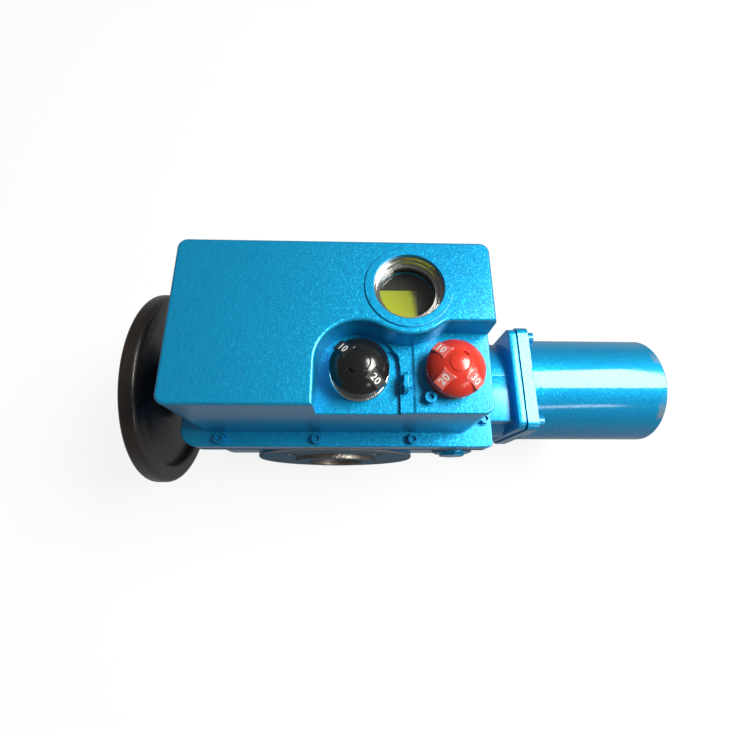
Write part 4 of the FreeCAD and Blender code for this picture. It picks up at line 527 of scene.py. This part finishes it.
def circuit():
    """Solder mask with copper tracks and bright pads."""
    material, tree, shader = start_material("Circuit board", Coat_Weight=0.4, Coat_Roughness=0.15)
    place = object_place(tree)
    inputs = {"Vector": place, "Scale": 170.0, "Mortar Size": 0.012,
              "Color1": (0.012, 0.10, 0.035, 1.0), "Color2": (0.010, 0.085, 0.03, 1.0),
              "Mortar": (0.05, 0.24, 0.08, 1.0)}
    tracks = add(tree, "ShaderNodeTexBrick", inputs)
    pads = add(tree, "ShaderNodeTexVoronoi", {"Vector": place, "Scale": 220.0})
    pads = maths(tree, "LESS_THAN", pads.outputs["Distance"], 0.16)
    feed(shader, Metallic=pads, Roughness=ramp(tree, noise(tree, place, 90.0), -0.6, 1.6),
         Base_Color=blend_colours(tree, pads, tracks.outputs["Color"], (0.62, 0.60, 0.55)))
    bump(shader, pads, 0.3, 0.0002)
    return material


def rubber():
    """Dull black rubber, a little grey with age."""
    material, tree, shader = start_material("Seal rubber")
    drift = tone_drift(tree, (0.022, 0.022, 0.022), (0.05, 0.048, 0.045), 60.0, 0.8)
    speck = place_group(tree, speck_group, Scale=900.0, Amount=0.4)
    feed(shader, Base_Color=drift["Color"], Roughness=scaled(tree, speck["Height"], 0.25, 0.55))
    bump(shader, speck["Height"], 0.2, 0.0003)
    return material


def sight_glass():
    """Clear plate glass with a few specks of dust."""
    material, tree, shader = start_material("Sight glass", Transmission_Weight=1.0, IOR=1.45,
                                            Base_Color=(0.95, 0.98, 0.95))
    speck = place_group(tree, speck_group, Scale=300.0, Amount=0.05)
    feed(shader, Roughness=times(tree, speck["Mask"], 0.35))
    return material


def display_screen():
    """A field that glows as painted light, brightest at the lower left and darker towards the upper
    right as painted shade.
    """
    paint = chosen("paint")
    # The glow is painted light, standing in for lamp light that the glass would let through.
    material, tree, shader = start_material("Display field", Coat_Weight=0.5, Coat_Roughness=0.1,
                                            Roughness=0.4, Emission_Strength=paint.screen_glow)
    place = object_place(tree)
    low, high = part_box("display_screen")
    across = ramp(tree, level_along(tree, "X", place), low.x, high.x)
    up = ramp(tree, level_along(tree, "Y", place), low.y, high.y)
    corner = times(tree, times(tree, up, up), 0.11)
    ragged = times(tree, noise(tree, place, 60.0), 0.05)
    # Darker towards the upper right and at the far end: painted shade from the window's wall.
    painted_shade_edge = maths(tree, "ADD", maths(tree, "ADD", across, corner), ragged)
    slow = times(tree, maths(tree, "ADD", across, up), 0.5)
    painted_shade_gradient = blend_colours(tree, slow, paint.screen, darker(paint.screen, 0.55))
    tone = blend_colours(tree, ramp(tree, painted_shade_edge, 0.93, 1.06), painted_shade_gradient, paint.screen_painted_shade)
    feed(shader, Base_Color=tone, Emission_Color=tone)
    return material


# The nodes whose finish isn't the one that their material slot names.
OWN_FINISH = {"motor_housing": "motor_paint", "gearbox_housing": "cast_paint",
              "cover_screws": "screw_paint", "cover_washers": "screw_paint",
              "motor_bolts": "screw_paint"}
MATERIALS = {}


def finish_for(name):
    """The material of a CAD node or a named finish, made when first asked for."""
    paint = chosen("paint")
    steel, light, dark = paint.steel, paint.enamel, paint.enamel_deep
    rough = paint.enamel_rough
    window = -middle("window_ring")
    chipped_rim, turned_depth = 0.0035, 0.006
    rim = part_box("motor_housing")[1].x - chipped_rim
    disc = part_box("gearbox_housing")[0].y + turned_depth
    worm, to_y = (0.0, 0.079, 0.05), (math.pi / 2, 0.0, 0.0)
    makers = {
        "body_paint": lambda: enamel("Teal enamel", light, dark, rough),
        "motor_paint": lambda: enamel("Motor enamel", light, dark, rough, gloss=0.11, chips=rim),
        # The cast enamel turns bare on the disc's face, tinted warm as a painted reflection.
        "cast_paint": lambda: enamel("Cast enamel", light, dark, rough + 0.06, peel=2.0,
                                     turned=disc),
        "screw_paint": lambda: enamel("Painted screws", dark, dark, rough, peel=0.3, sparkle=0.08),
        "black_paint": lambda: black_enamel("Handwheel enamel", paint.black_enamel, paint.brown_specks),
        "black_plastic": lambda: knob_moulding("black", 0.20),
        "red_plastic": lambda: knob_moulding("red", 0.24),
        "marks": lambda: moulding("Number fill", paint.marks, 0.5),
        "stainless": lambda: machined("Stainless ring", steel, 0.14, (window.x, window.y, 0.0)),
        "zinc_steel": lambda: machined("Zinc-plated steel", steel, 0.28),
        "dark_steel": lambda: machined("Dark steel", (0.24, 0.24, 0.25), 0.32, worm, TO_X),
        "bronze": lambda: machined("Bronze", (0.56, 0.33, 0.12), 0.30, turn=to_y),
        "rubber": rubber,
        "sight_glass": sight_glass,
        "lcd": display_screen,
        "dark_plastic": lambda: moulding("Dark moulding", (0.042, 0.037, 0.030), 0.5, relief=0.2),
        "pale_plastic": lambda: moulding("Pale moulding", (0.50, 0.50, 0.46), 0.45, relief=0.15),
        "circuit_board": circuit,
        "copper": lambda: stacked("Copper winding", (0.62, 0.27, 0.10), (0.30, 0.10, 0.04), 500.0,
                                  0.8, 0.35),
        "laminated_steel": lambda: stacked("Laminated steel", (0.34, 0.34, 0.35),
                                           (0.12, 0.12, 0.13), 700.0, 0.9, 0.4),
    }
    finish = OWN_FINISH.get(name, SLOTS.get(name, name))
    if finish not in MATERIALS:
        MATERIALS[finish] = makers[finish]()
    return MATERIALS[finish]


def dress(*slots):
    """Give each CAD node of the named slots its finish."""
    for node, slot in SLOTS.items():
        if slot in slots:
            mesh = frame["nodes"][node].data
            mesh.materials.clear()
            mesh.materials.append(finish_for(node))


def active():
    """The piece that the last operator left active."""
    return bpy.context.view_layer.objects.active


def deselect():
    """Nothing selected and nothing active."""
    bpy.ops.object.select_all(action="DESELECT")
    bpy.context.view_layer.objects.active = None


def select_only(piece):
    """One piece selected and active."""
    deselect()
    piece.select_set(True)
    bpy.context.view_layer.objects.active = piece


def settle(piece, name, body, material):
    """A finished piece: named, place in its mesh, finish on, riding on its body."""
    piece.name = piece.data.name = name
    select_only(piece)
    bpy.ops.object.transform_apply()
    piece.data.materials.clear()
    piece.data.materials.append(material)
    deselect()
    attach(piece, body)


def stand_for(piece, name, body, node):
    """A finished piece that stands for a CAD node."""
    settle(piece, name, body, finish_for(node))
    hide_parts(node)


def join(pieces):
    """Like pieces made one."""
    deselect()
    for piece in pieces:
        piece.select_set(True)
    bpy.context.view_layer.objects.active = pieces[0]
    if len(pieces) > 1:
        bpy.ops.object.join()
    return active()


def middle(node):
    """The middle of a CAD node's box."""
    low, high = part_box(node)
    return (low + high) / 2


def apply_modifier(piece, kind, **settings):
    """One modifier set and applied."""
    select_only(piece)
    modifier = piece.modifiers.new(kind.title(), kind)
    set_all(modifier, **settings)
    bpy.ops.object.modifier_apply(modifier=modifier.name)


def merge_with(piece, other, operation="UNION"):
    """One piece added to another, or cut from it."""
    apply_modifier(piece, "BOOLEAN", operation=operation, solver="EXACT", object=other)
    bpy.data.objects.remove(other)
    return piece


def box_between(low, high):
    """A block between two corners."""
    deselect()
    low, high = Vector(low), Vector(high)
    bpy.ops.mesh.primitive_cube_add(size=1.0, location=(low + high) / 2)
    piece = active()
    piece.scale = high - low
    bpy.ops.object.transform_apply()
    return piece


def round_bar(start, end, radius, through, along="Z", sides=128):
    """A cylinder along X or Z, from one level to another, on the axis through a point."""
    deselect()
    place = Vector(through)
    place["XYZ".index(along)] = (start + end) / 2
    turn = TO_X if along == "X" else (0.0, 0.0, 0.0)
    bpy.ops.mesh.primitive_cylinder_add(vertices=sides, radius=radius, depth=abs(end - start),
                                        location=place, rotation=turn)
    bpy.ops.object.transform_apply()
    return active()


def close_edit():
    """Back to object mode."""
    bpy.ops.object.mode_set(mode="OBJECT")


def open_edit(piece, kind=None, test=None):
    """Edit mode on a piece, all of it selected, or its elements of a kind that pass a test."""
    select_only(piece)
    bpy.ops.object.mode_set(mode="EDIT")
    if kind is None:
        bpy.ops.mesh.select_all(action="SELECT")
        return
    modes = {"vertices": "VERT", "edges": "EDGE", "polygons": "FACE"}
    bpy.ops.mesh.select_mode(type=modes[kind])
    bpy.ops.mesh.select_all(action="DESELECT")
    close_edit()
    for element in getattr(piece.data, kind):
        element.select = test(element)
    bpy.ops.object.mode_set(mode="EDIT")


def extrude(x=0.0, z=0.0):
    """Extrude what is selected."""
    bpy.ops.mesh.extrude_region_move(TRANSFORM_OT_translate={"value": (x, 0.0, z)})


def bevel_where(piece, kind, test, width, segments, profile=0.5):
    """Round the edges, or the rims of the faces, that pass a test."""
    open_edit(piece, kind, test)
    bpy.ops.mesh.bevel(offset=width, segments=segments, profile=profile)
    close_edit()


def smooth_by_angle(piece, degrees):
    """Smooth shading, but sharp past an angle."""
    select_only(piece)
    bpy.ops.object.shade_smooth_by_angle(angle=math.radians(degrees))


def bevel_along_x(piece, width, segments=2):
    """Round the edges that run along X."""
    def runs_along_x(edge):
        start, end = (piece.data.vertices[index].co for index in edge.vertices)
        return abs((end - start).normalized().x) > 0.9

    bevel_where(piece, "edges", runs_along_x, width, segments)


def dome_fall(distance):
    """How far a knob's dome has fallen at a distance from its axis."""
    ball = chosen("knobs").ball
    return ball - math.sqrt(ball ** 2 - distance ** 2)


def pad_drop(distance):
    """How far a pad's face lies below the crown of the dome."""
    sizes = chosen("knobs")
    start = dome_fall(sizes.pad_start) - sizes.pad_rise
    return start + (distance - sizes.pad_start) * math.tan(sizes.pad_lean)


def crown_level():
    """The height of the knobs' crowns, just inside the box of the solids."""
    return CAD_BOX[1][2] - NEAR - chosen("knobs").disc_rise


def stand_at(piece, centre, angle):
    """A piece modelled at the origin, turned and set on a knob's axis."""
    select_only(piece)
    piece.rotation_euler = (0.0, 0.0, math.radians(angle))
    piece.location = (centre.x, centre.y, 0.0)
    bpy.ops.object.transform_apply()
    return piece


def make_pad(centre, angle):
    """One leaning pad: a block whose top falls outwards and whose inner end flares."""
    sizes = chosen("knobs")
    start, waist, end, depth = sizes.pad_start, sizes.pad_waist, sizes.pad_end, 0.010
    top = crown_level() - pad_drop(waist)
    root = crown_level() - pad_drop(end) - depth
    pad = box_between((waist, -sizes.pad_half, root), (end, sizes.pad_half, top))
    open_edit(pad, "vertices", lambda at: at.co.z > top - NEAR and at.co.x > waist + NEAR)
    bpy.ops.transform.translate(value=(0.0, 0.0, pad_drop(waist) - pad_drop(end)))
    close_edit()
    open_edit(pad, "polygons", lambda face: face.normal.x < -0.9)
    extrude(x=start - waist)
    bpy.ops.transform.resize(value=(1.0, sizes.pad_flare / sizes.pad_half, 1.0),
                             center_override=(0.0, 0.0, 0.0))
    close_edit()
    open_edit(pad, "vertices", lambda at: at.co.z > top - NEAR and at.co.x < waist - NEAR)
    bpy.ops.transform.translate(value=(0.0, 0.0, pad_drop(waist) - pad_drop(start)))
    close_edit()
    return stand_at(pad, centre, angle)


def make_ball(centre, radius, level):
    """A ball whose highest point is at a level over a knob's axis."""
    deselect()
    bpy.ops.mesh.primitive_uv_sphere_add(segments=128, ring_count=96, radius=radius,
                                         location=(centre.x, centre.y, level - radius))
    bpy.ops.object.transform_apply()
    return active()


def make_dome(centre, foot, crown):
    """A knob's body: a ball cut at its shoulder, with a rolled rim drawn down to the foot."""
    sizes = chosen("knobs")
    dome = make_ball(centre, sizes.ball, crown)
    shoulder = crown - dome_fall(sizes.shoulder)
    open_edit(dome)
    bpy.ops.mesh.bisect(plane_co=(centre.x, centre.y, shoulder), plane_no=(0.0, 0.0, 1.0),
                        clear_inner=True)
    radius, level, height = sizes.shoulder, shoulder, shoulder - foot
    widest, turn_in, ease = sizes.widest, sizes.widest - sizes.foot, 0.0003
    rim = ((0.10, widest - ease), (0.22, widest), (0.38, widest - ease),
           (0.58, widest - 0.25 * turn_in), (0.80, widest - 0.62 * turn_in), (1.0, sizes.foot))
    for share, reach in rim:
        step = shoulder - share * height - level
        extrude(z=step)
        bpy.ops.transform.resize(value=(reach / radius, reach / radius, 1.0),
                                 center_override=(centre.x, centre.y, shoulder - share * height))
        radius = reach
        level += step
    bpy.ops.mesh.edge_face_add()
    bpy.ops.mesh.select_all(action="SELECT")
    bpy.ops.mesh.normals_make_consistent(inside=False)
    close_edit()
    return dome


def make_knob(node):
    """A domed knob that stands for its plainer solid: dome, centre disc, pads and notch."""
    sizes = chosen("knobs")
    body, notch_angle, fullness, pads = KNOBS[node]
    centre = middle(node)
    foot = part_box(node)[0].z
    crown = crown_level()
    disc_cut = 0.006
    notch_start, notch_end, notch_half, notch_depth = 0.0094, 0.0111, 0.0026, 0.0050
    knob = make_dome(centre, foot, crown)
    disc = make_ball(centre, sizes.ball, crown + sizes.disc_rise)
    core = round_bar(crown - disc_cut, crown + disc_cut, sizes.disc, (centre.x, centre.y, 0.0))
    merge_with(knob, merge_with(disc, core, "INTERSECT"))
    for angle, *_ in pads:
        merge_with(knob, make_pad(centre, angle))
    notch = box_between((notch_start, -notch_half, crown - notch_depth),
                        (notch_end, notch_half, crown + disc_cut))
    merge_with(knob, stand_at(notch, centre, notch_angle), "DIFFERENCE")
    open_edit(knob)
    bpy.ops.transform.resize(value=(fullness, fullness, 1.0),
                             center_override=(centre.x, centre.y, foot))
    close_edit()
    apply_modifier(knob, "REMESH", mode="VOXEL", voxel_size=sizes.grain, use_smooth_shade=True)
    apply_modifier(knob, "SMOOTH", factor=0.5, iterations=4)
    bpy.ops.object.shade_smooth()
    stand_for(knob, node + "_moulding", body, node)


def pad_frame(node, knob, angle, outward):
    """Where a number stands on a knob's pad, and the way it reads."""
    centre = middle(node)
    turn = math.radians(angle)
    lean = chosen("knobs").pad_lean
    radial = Vector((math.cos(turn), math.sin(turn), 0.0))
    above = Vector((centre.x, centre.y, CAD_BOX[1][2] + 0.01))
    above += radial * chosen("marks").digit_place
    hit, spot = knob.ray_cast(above, Vector((0.0, 0.0, -1.0)))[:2]
    if not hit:
        raise RuntimeError(f"no pad of {node} at {angle}")
    normal = radial * math.sin(lean) + Vector((0.0, 0.0, math.cos(lean)))
    reading = radial - normal * radial.dot(normal)
    reading = reading.normalized() * (1.0 if outward else -1.0)
    turned = Matrix((reading, normal.cross(reading), normal)).transposed().to_4x4()
    return Matrix.Translation(spot) @ turned


def make_number(text, matrix):
    """One number, stood on its pad with a little thickness and sunk by as much."""
    marks = chosen("marks")
    deselect()
    bpy.ops.object.text_add(location=(0.0, 0.0, 0.0))
    set_all(active().data, body=text, size=marks.digit, space_character=1.1, align_x="CENTER",
            align_y="CENTER", offset=marks.digit_weight, extrude=marks.digit_thick, resolution_u=4)
    bpy.ops.object.convert(target="MESH")
    piece = active()
    across = [vertex.co.x for vertex in piece.data.vertices]
    up = [vertex.co.y for vertex in piece.data.vertices]
    centred = Matrix.Translation((-(min(across) + max(across)) / 2, -(min(up) + max(up)) / 2, 0.0))
    piece.matrix_world = matrix @ centred
    bpy.ops.object.transform_apply()
    open_edit(piece)
    bpy.ops.mesh.remove_doubles(threshold=0.00001)
    bpy.ops.mesh.normals_make_consistent(inside=False)
    close_edit()
    return piece


class ACTUATOR_OT_paint_castings(bpy.types.Operator):
    """Paint the castings, the motor and the handwheel"""
    bl_idname = "actuator.paint_castings"
    bl_label = "Paint castings"

    def execute(self, context):
        dress("body_paint", "black_paint")
        return {"FINISHED"}


class ACTUATOR_OT_finish_fittings(bpy.types.Operator):
    """Finish the knobs, the window, the seals and the fasteners"""
    bl_idname = "actuator.finish_fittings"
    bl_label = "Finish fittings"

    def execute(self, context):
        dress("black_plastic", "red_plastic", "stainless", "zinc_steel", "rubber", "sight_glass",
              "lcd")
        return {"FINISHED"}


class ACTUATOR_OT_finish_inside(bpy.types.Operator):
    """Finish the drive train and the electronics, which the castings hide"""
    bl_idname = "actuator.finish_inside"
    bl_label = "Finish inside"

    def execute(self, context):
        dress("dark_steel", "bronze", "dark_plastic", "pale_plastic", "circuit_board", "copper",
              "laminated_steel")
        return {"FINISHED"}


class ACTUATOR_OT_adapter(bpy.types.Operator):
    """Model the motor adapter: round neck, flat, square plate and bores"""
    bl_idname = "actuator.adapter"
    bl_label = "Motor adapter"

    def execute(self, context):
        sizes = chosen("adapter")
        low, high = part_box("motor_adapter")
        axis = middle("motor_shaft")
        plate_x = high.x - sizes.plate
        level = axis.z - sizes.drum_drop
        adapter = round_bar(low.x, high.x - OVERLAP, sizes.drum, (0.0, axis.y, level), "X")
        open_edit(adapter)
        bpy.ops.transform.resize(value=(1.0, sizes.drum_wide / sizes.drum, 1.0),
                                 center_override=(0.0, axis.y, level))
        close_edit()
        flat = box_between((low.x, axis.y - sizes.flat_low, axis.z - sizes.flat_low),
                           (plate_x + OVERLAP, axis.y + sizes.flat_high,
                            level + sizes.drum + sizes.flat_rise))
        bevel_along_x(flat, sizes.edge)
        plate = box_between((plate_x, low.y, low.z), high)
        bevel_along_x(plate, sizes.corner, 10)
        bevel_where(plate, "polygons", lambda face: abs(face.normal.x) > 0.9, sizes.edge, 2)
        merge_with(merge_with(adapter, flat), plate)
        base = low.x + sizes.floor
        merge_with(adapter, round_bar(low.x - OVERLAP, base + OVERLAP, sizes.bore, axis, "X"),
                   "DIFFERENCE")
        hollow = sizes.drum - sizes.wall - sizes.drum_drop
        merge_with(adapter, round_bar(base, high.x + OVERLAP, hollow, axis, "X"), "DIFFERENCE")
        smooth_by_angle(adapter, 32)
        stand_for(adapter, "adapter_casting", "housing", "motor_adapter")
        return {"FINISHED"}


class ACTUATOR_OT_knob_ring(bpy.types.Operator):
    """Model the bright ring under the black knob, with its bore"""
    bl_idname = "actuator.knob_ring"
    bl_label = "Knob ring"

    def execute(self, context):
        sizes = chosen("knobs")
        low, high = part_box("black_knob_seat")
        centre = middle("black_knob_seat")
        axis = (centre.x, centre.y, 0.0)
        ring = round_bar(low.z, high.z, sizes.ring, axis)
        bevel_where(ring, "polygons", lambda face: face.normal.z > 0.9, sizes.ring_bevel, 4)
        shaft_hole = 0.0060
        bore = round_bar(low.z - OVERLAP, high.z + OVERLAP, shaft_hole, axis, sides=48)
        merge_with(ring, bore, "DIFFERENCE")
        smooth_by_angle(ring, 35)
        stand_for(ring, "black_knob_ring", "housing", "black_knob_seat")
        return {"FINISHED"}


class ACTUATOR_OT_knobs(bpy.types.Operator):
    """Model the two domed knobs"""
    bl_idname = "actuator.knobs"
    bl_label = "Knobs"

    def execute(self, context):
        for node in KNOBS:
            make_knob(node)
        return {"FINISHED"}


class ACTUATOR_OT_knob_numbers(bpy.types.Operator):
    """Lay plain numbers on the knobs' pads"""
    bl_idname = "actuator.knob_numbers"
    bl_label = "Knob numbers"

    def execute(self, context):
        for node, (body, *_, pads) in KNOBS.items():
            knob = bpy.data.objects[node + "_moulding"]
            numbers = [make_number(text, pad_frame(node, knob, angle, outward))
                       for angle, text, outward in pads]
            settle(join(numbers), node + "_numbers", body, finish_for("marks"))
        return {"FINISHED"}


class ACTUATOR_OT_end_screws(bpy.types.Operator):
    """Fit four button-head screws to the motor's end shield"""
    bl_idname = "actuator.end_screws"
    bl_label = "End shield screws"

    def execute(self, context):
        marks = chosen("marks")
        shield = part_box("motor_end_shield")[1].x
        centre = middle("motor_end_shield")
        edge, rim, sunk = 0.0012, 0.0016, 0.0018
        reach, half = 0.042 * math.sqrt(0.5), marks.screw_rise / 2
        screw = round_bar(-half, half, marks.screw_head, (0.0, 0.0, 0.0), sides=32)
        bevel_where(screw, "polygons", lambda face: face.normal.z > 0.9, edge, 3, 0.6)
        open_edit(screw, "polygons", lambda face: face.normal.z > 0.01)
        bpy.ops.mesh.inset(thickness=rim, depth=0.0)
        extrude(z=-sunk)
        close_edit()
        smooth_by_angle(screw, 35)
        screws = []
        for side in (-reach, reach):
            for rise in (-reach, reach):
                piece = screw.copy()
                piece.data = screw.data.copy()
                context.collection.objects.link(piece)
                piece.rotation_euler = TO_X
                piece.location = (shield, centre.y + side, centre.z + rise)
                select_only(piece)
                bpy.ops.object.transform_apply()
                screws.append(piece)
        bpy.data.objects.remove(screw)
        finish = "zinc_steel"
        settle(join(screws), "end_shield_screws", "housing", finish_for(finish))
        return {"FINISHED"}


class ACTUATOR_OT_stage(bpy.types.Operator):
    """Set the floor, the surround, two lamps and the camera"""
    bl_idname = "actuator.stage"
    bl_label = "Stage"

    def execute(self, context):
        stage = chosen("stage")
        self.floor(stage)
        self.surround(context, stage)
        self.lamp(context, "Key lamp", stage.key, place=(1.25, 0.37, 1.78),
                  target=(0.06, 0.08, 0.10), size=(1.20, 0.84), colour=(0.98, 1.0, 0.93))
        self.lamp(context, "Fill lamp", stage.fill, place=(0.75, -0.85, 0.75),
                  target=(0.06, 0.05, 0.05), size=(0.5, 0.10), colour=WHITE[:3])
        self.camera(context, stage)
        context.scene.view_settings.view_transform = "Standard"
        return {"FINISHED"}

    def rays(self, tree):
        """Whether a ray comes from the camera, and whether from gloss or glass."""
        rays = add(tree, "ShaderNodeLightPath").outputs
        mirrored = maths(tree, "MAXIMUM", rays["Is Glossy Ray"], rays["Is Transmission Ray"])
        return rays["Is Camera Ray"], mirrored

    def floor(self, stage):
        """A pale floor, white where the camera sees it and dimmer in gloss and glass."""
        deselect()
        bpy.ops.mesh.primitive_plane_add(size=2 * stage.floor_size,
                                         location=(0.0, 0.0, CAD_BOX[0][2]))
        floor = active()
        floor.name = "studio_floor"
        material, tree, shader = start_material("Floor", Roughness=0.9, Specular_IOR_Level=0.1,
                                                Emission_Color=WHITE)
        tone = blend_colours(tree, noise(tree, object_place(tree), 3.0), stage.floor,
                             darker(stage.floor, 0.99))
        seen, mirrored = self.rays(tree)
        seen = maths(tree, "MAXIMUM", seen, times(tree, mirrored, stage.mirror))
        feed(shader, Base_Color=tone, Emission_Strength=times(tree, seen, stage.lift))
        floor.data.materials.append(material)
        deselect()

    def surround(self, context, stage):
        """White behind the object, a dim room in gloss and glass, and plain ambient light."""
        world = bpy.data.worlds.new("Studio surround")
        world.use_nodes = True
        tree = world.node_tree
        back = tree.nodes["Background"]
        seen, mirrored = self.rays(tree)
        height = level_along(tree, "Z", add(tree, "ShaderNodeTexCoord").outputs["Generated"])
        low, high = 0.10, 0.45
        room = ramp(tree, height, low, high, stage.horizon, stage.ceiling)
        shown = times(tree, mirrored, room)
        light = maths(tree, "MAXIMUM", maths(tree, "MAXIMUM", seen, shown), stage.ambient)
        feed(back, Color=WHITE, Strength=light)
        context.scene.world = world

    def lamp(self, context, name, power, place, target, size, colour):
        """One soft lamp turned to a target."""
        data = bpy.data.lights.new(name, "AREA")
        set_all(data, shape="RECTANGLE", size=size[0], size_y=size[1], energy=power, color=colour)
        lamp = bpy.data.objects.new(name, data)
        lamp.location = place
        aim = Vector(target) - Vector(place)
        lamp.rotation_euler = aim.to_track_quat("-Z", "Y").to_euler()
        context.collection.objects.link(lamp)

    def camera(self, context, stage):
        """The photograph's viewpoint."""
        place, pitch, yaw, roll = (0.0212, -0.0556, 0.5460), 0.3212, 0.0298, 0.0014
        forward = Vector((math.sin(yaw) * math.cos(pitch), math.sin(pitch),
                          -math.cos(yaw) * math.cos(pitch)))
        level = Vector((math.cos(yaw), 0.0, math.sin(yaw)))
        down = forward.cross(level)
        right = level * math.cos(roll) + down * math.sin(roll)
        up = level * math.sin(roll) - down * math.cos(roll)
        data = bpy.data.cameras.new("Camera")
        set_all(data, sensor_width=36.0, sensor_fit="HORIZONTAL", lens=stage.lens, clip_start=0.01)
        camera = bpy.data.objects.new("Camera", data)
        camera.rotation_euler = Matrix((right, up, -forward)).transposed().to_euler()
        camera.location = place
        context.collection.objects.link(camera)
        context.scene.camera = camera


class ACTUATOR_PT_panel(bpy.types.Panel):
    """Sizes, colours and steps of the actuator's dressing"""
    bl_label = "Actuator"
    bl_idname = "ACTUATOR_PT_panel"
    bl_space_type = "VIEW_3D"
    bl_region_type = "UI"
    bl_category = "Actuator"

    def draw(self, context):
        """List the properties, then the steps."""
        for group in SETTINGS:
            settings = chosen(group)
            box = self.layout.box()
            for label in settings.__annotations__:
                box.prop(settings, label)
        for operator in OPERATORS:
            self.layout.operator(operator.bl_idname)


OPERATORS = (
    ACTUATOR_OT_stage,
    ACTUATOR_OT_paint_castings,
    ACTUATOR_OT_finish_fittings,
    ACTUATOR_OT_finish_inside,
    ACTUATOR_OT_adapter,
    ACTUATOR_OT_knob_ring,
    ACTUATOR_OT_knobs,
    ACTUATOR_OT_knob_numbers,
    ACTUATOR_OT_end_screws,
)
SETTINGS = {"paint": ActuatorPaint, "marks": ActuatorMarks, "knobs": ActuatorKnobs,
            "adapter": ActuatorAdapter, "stage": ActuatorStage}


def register():
    """Add the settings, the steps and the panel."""
    for group, settings in SETTINGS.items():
        bpy.utils.register_class(settings)
        pointer = bpy.props.PointerProperty(type=settings)
        setattr(bpy.types.Scene, "actuator_" + group, pointer)
    for shown in (*OPERATORS, ACTUATOR_PT_panel):
        bpy.utils.register_class(shown)


def unregister():
    """Take them away again."""
    for shown in (ACTUATOR_PT_panel, *reversed(OPERATORS)):
        bpy.utils.unregister_class(shown)
    for group, settings in SETTINGS.items():
        delattr(bpy.types.Scene, "actuator_" + group)
        bpy.utils.unregister_class(settings)


def main():
    """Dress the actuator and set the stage."""
    register()
    bpy.ops.actuator.stage()
    bpy.ops.actuator.paint_castings()
    bpy.ops.actuator.finish_fittings()
    bpy.ops.actuator.finish_inside()
    bpy.ops.actuator.adapter()
    bpy.ops.actuator.knob_ring()
    bpy.ops.actuator.knobs()
    bpy.ops.actuator.knob_numbers()
    bpy.ops.actuator.end_screws()


if __name__ == "__main__":
    main()
